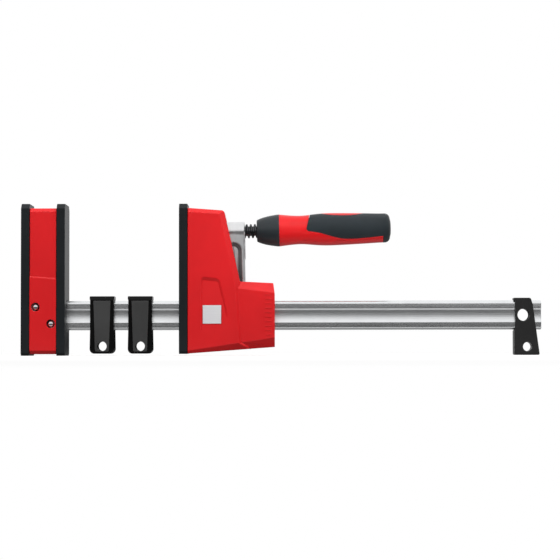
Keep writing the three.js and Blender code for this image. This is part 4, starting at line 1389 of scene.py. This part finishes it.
@dataclass(frozen=True)
class Studio:
    """White floor and surroundings, soft lamps and the camera of the photograph."""

    floor_size: float = 60.0  # metres
    floor_tone: str = "#F2F2F2"
    bounce_tone: str = "#7A7A7A"  # with which the floor lights what stands on it
    floor_glow: Pair = (0.6, 1.0)  # plain white in it, near and far
    glow_reach: Pair = (0.35, 1.1)  # metres over which that rises
    soft_level: float = 0.42  # of the surroundings, for light on matt surfaces
    lamps: tuple[Lamp, ...] = (
        Lamp("key_softbox", (-0.05, -0.42, 0.62), (1.7, 0.2), 5.6, (0.0, 0.0, 0.1)),
        Lamp("top_softbox", (0.1, 0.2, 1.5), (2.2, 1.0), 10.5),
        Lamp("fill_softbox", (0.55, -1.45, 0.12), (1.2, 0.2), 5.2, (0.15, 0.0, 0.12)),
        Lamp("rear_softbox", (0.2, 1.6, 1.1), (1.6, 0.8), 9.0),
        # Lights the handle from below, as a white bench top does.
        Lamp("low_softbox", (0.05, -0.32, 0.012), (0.16, 0.02), 0.026, (0.06, 0.0, 0.14),
             34.0),
    )
    cards: tuple[Card, ...] = (
        # Grey walls at the height where the rail's and the pads' faces mirror them.
        Card("front_low_card", (0.0, -2.6, 0.17), (9.0, 0.34), 90.0, "#595959"),
        Card("right_low_card", (4.5, 0.0, 0.5), (5.2, 1.0), 90.0, "#585858", 90.0),
        Card("left_low_card", (-4.5, 0.0, 0.5), (5.2, 1.0), 90.0, "#585858", 90.0),
        # The table as metal sees it: bright just before the clamp, greyer all round.
        Card("front_table_card", (0.0, -1.33, 0.0005), (9.0, 2.54), 0.0, "#595959"),
        Card("near_table_card", (0.0, -0.0465, 0.0005), (9.0, 0.027), 0.0, "#F0F0F0"),
        # Painted shadow: the clamp's own shadow on the table under it, as metal mirrors it.
        Card("shaded_table_card", (0.0, 0.0, 0.0005), (9.0, 0.066), 0.0, "#989898"),
        Card("rear_table_card", (0.0, 1.33, 0.0005), (9.0, 2.54), 0.0, "#A0A0A0"),
        # A dark strip low behind the clamp: painted shade, so that the jaw faces below the rail
        # mirror dark where the rail and supports shade them.
        Card("rear_painted_shade_card", (-0.2, 0.1, 0.0145), (0.4, 0.028), 90.0, "#080808"),
    )
    camera_place: Triple = (-3.87, -1793.7, 8.0)  # mm
    camera_yaw: float = -0.06  # degrees
    camera_pitch: float = 2.12
    camera_roll: float = 0.10
    lens: float = 116.71
    sensor: float = 36.0

    def floor(self) -> None:
        """A pale floor that shows white and keeps the clamp's shadow."""
        material = blank_material("white_paper_floor")
        tree = material.node_tree
        seen = self.seen_rays(tree)
        tone = add_node(tree, "ShaderNodeMix", {
            "data_type": "RGBA", 6: linear(self.bounce_tone), 7: linear(self.floor_tone)},
            {0: seen})
        matt = add_node(tree, "ShaderNodeBsdfDiffuse", links={"Color": tone.outputs[2]})
        white = add_node(tree, "ShaderNodeEmission", {"Color": (1, 1, 1, 1)})
        place = add_node(tree, "ShaderNodeTexCoord").outputs["Object"]
        distance = add_node(tree, "ShaderNodeVectorMath", {"operation": "LENGTH"}, {0: place})
        (near, far), (low, high) = self.glow_reach, self.floor_glow
        glow = add_node(tree, "ShaderNodeMapRange", {
            "From Min": near, "From Max": far, "To Min": low, "To Max": high},
            {"Value": distance.outputs["Value"]})
        share = add_node(tree, "ShaderNodeMath", {"operation": "MULTIPLY"},
                         {0: seen, 1: glow.outputs[0]})
        mixed = add_node(tree, "ShaderNodeMixShader",
                         links={0: share.outputs[0], 1: matt.outputs[0], 2: white.outputs[0]})
        add_node(tree, "ShaderNodeOutputMaterial", links={"Surface": mixed.outputs[0]})
        size = (self.floor_size, self.floor_size)
        floor = sheet("studio_floor", size, Matrix.Identity(4), material)

    @staticmethod
    def seen_rays(tree: NodeTree) -> NodeSocket:
        """One for what the camera sees, straight or by mirror or through glass."""
        path = add_node(tree, "ShaderNodeLightPath")
        mirrored = add_node(tree, "ShaderNodeMath", {"operation": "MAXIMUM"},
                            {0: path.outputs["Is Camera Ray"], 1: path.outputs["Is Glossy Ray"]})
        both = add_node(tree, "ShaderNodeMath", {"operation": "MAXIMUM"},
                        {0: mirrored.outputs[0], 1: path.outputs["Is Transmission Ray"]})
        return both.outputs[0]

    def world(self) -> None:
        """White surroundings that light the matt surfaces more softly."""
        world = bpy.data.worlds.new("studio")
        world.use_nodes = True
        tree = world.node_tree
        tree.nodes.clear()
        level = add_node(tree, "ShaderNodeMapRange", {"To Min": self.soft_level, "To Max": 1.0},
                         {"Value": self.seen_rays(tree)})
        light = add_node(tree, "ShaderNodeBackground", {"Color": (1, 1, 1, 1)},
                         {"Strength": level.outputs[0]})
        add_node(tree, "ShaderNodeOutputWorld", links={"Surface": light.outputs[0]})
        bpy.context.scene.world = world

    def camera(self) -> None:
        """The camera at the photograph's viewing angle."""
        yaw, pitch, roll = (math.radians(angle) for angle in (
            self.camera_yaw, self.camera_pitch, self.camera_roll))
        level = Matrix.Rotation(yaw, 4, "Z") @ Matrix.Rotation(math.pi / 2 + pitch, 4, "X")
        turn = level @ Matrix.Rotation(-roll, 4, "Z")
        data = bpy.data.cameras.new("photo_camera")
        data.sensor_fit = "HORIZONTAL"
        data.sensor_width = self.sensor
        data.lens = self.lens
        data.clip_start = 0.05
        data.clip_end = 100.0
        camera = bpy.data.objects.new("photo_camera", data)
        camera.matrix_world = Matrix.Translation(Vector(self.camera_place) * MM) @ turn
        bpy.context.scene.collection.objects.link(camera)
        bpy.context.scene.camera = camera

    def build(self) -> None:
        """Sets up the studio."""
        self.floor()
        self.world()
        for item in (*self.lamps, *self.cards):
            item.build()
        self.camera()
        bpy.context.scene.view_settings.view_transform = "Standard"


def main() -> None:
    """Builds the studio and the clamp."""
    logging.basicConfig(level=logging.INFO, format="%(message)s")
    Studio().build()
    finishes = Finishes()
    parts = (
        RailBar(), FixedJaw(), RailSupport(1, -189.3), RailSupport(2, -151.8), EndClip(),
        JawHousing(), ClampArm(), Screw(), Handle(),
    )
    for part in parts:
        part.build(finishes)
        log.info("%s done", type(part).__name__)


if __name__ == "__main__":
    main()
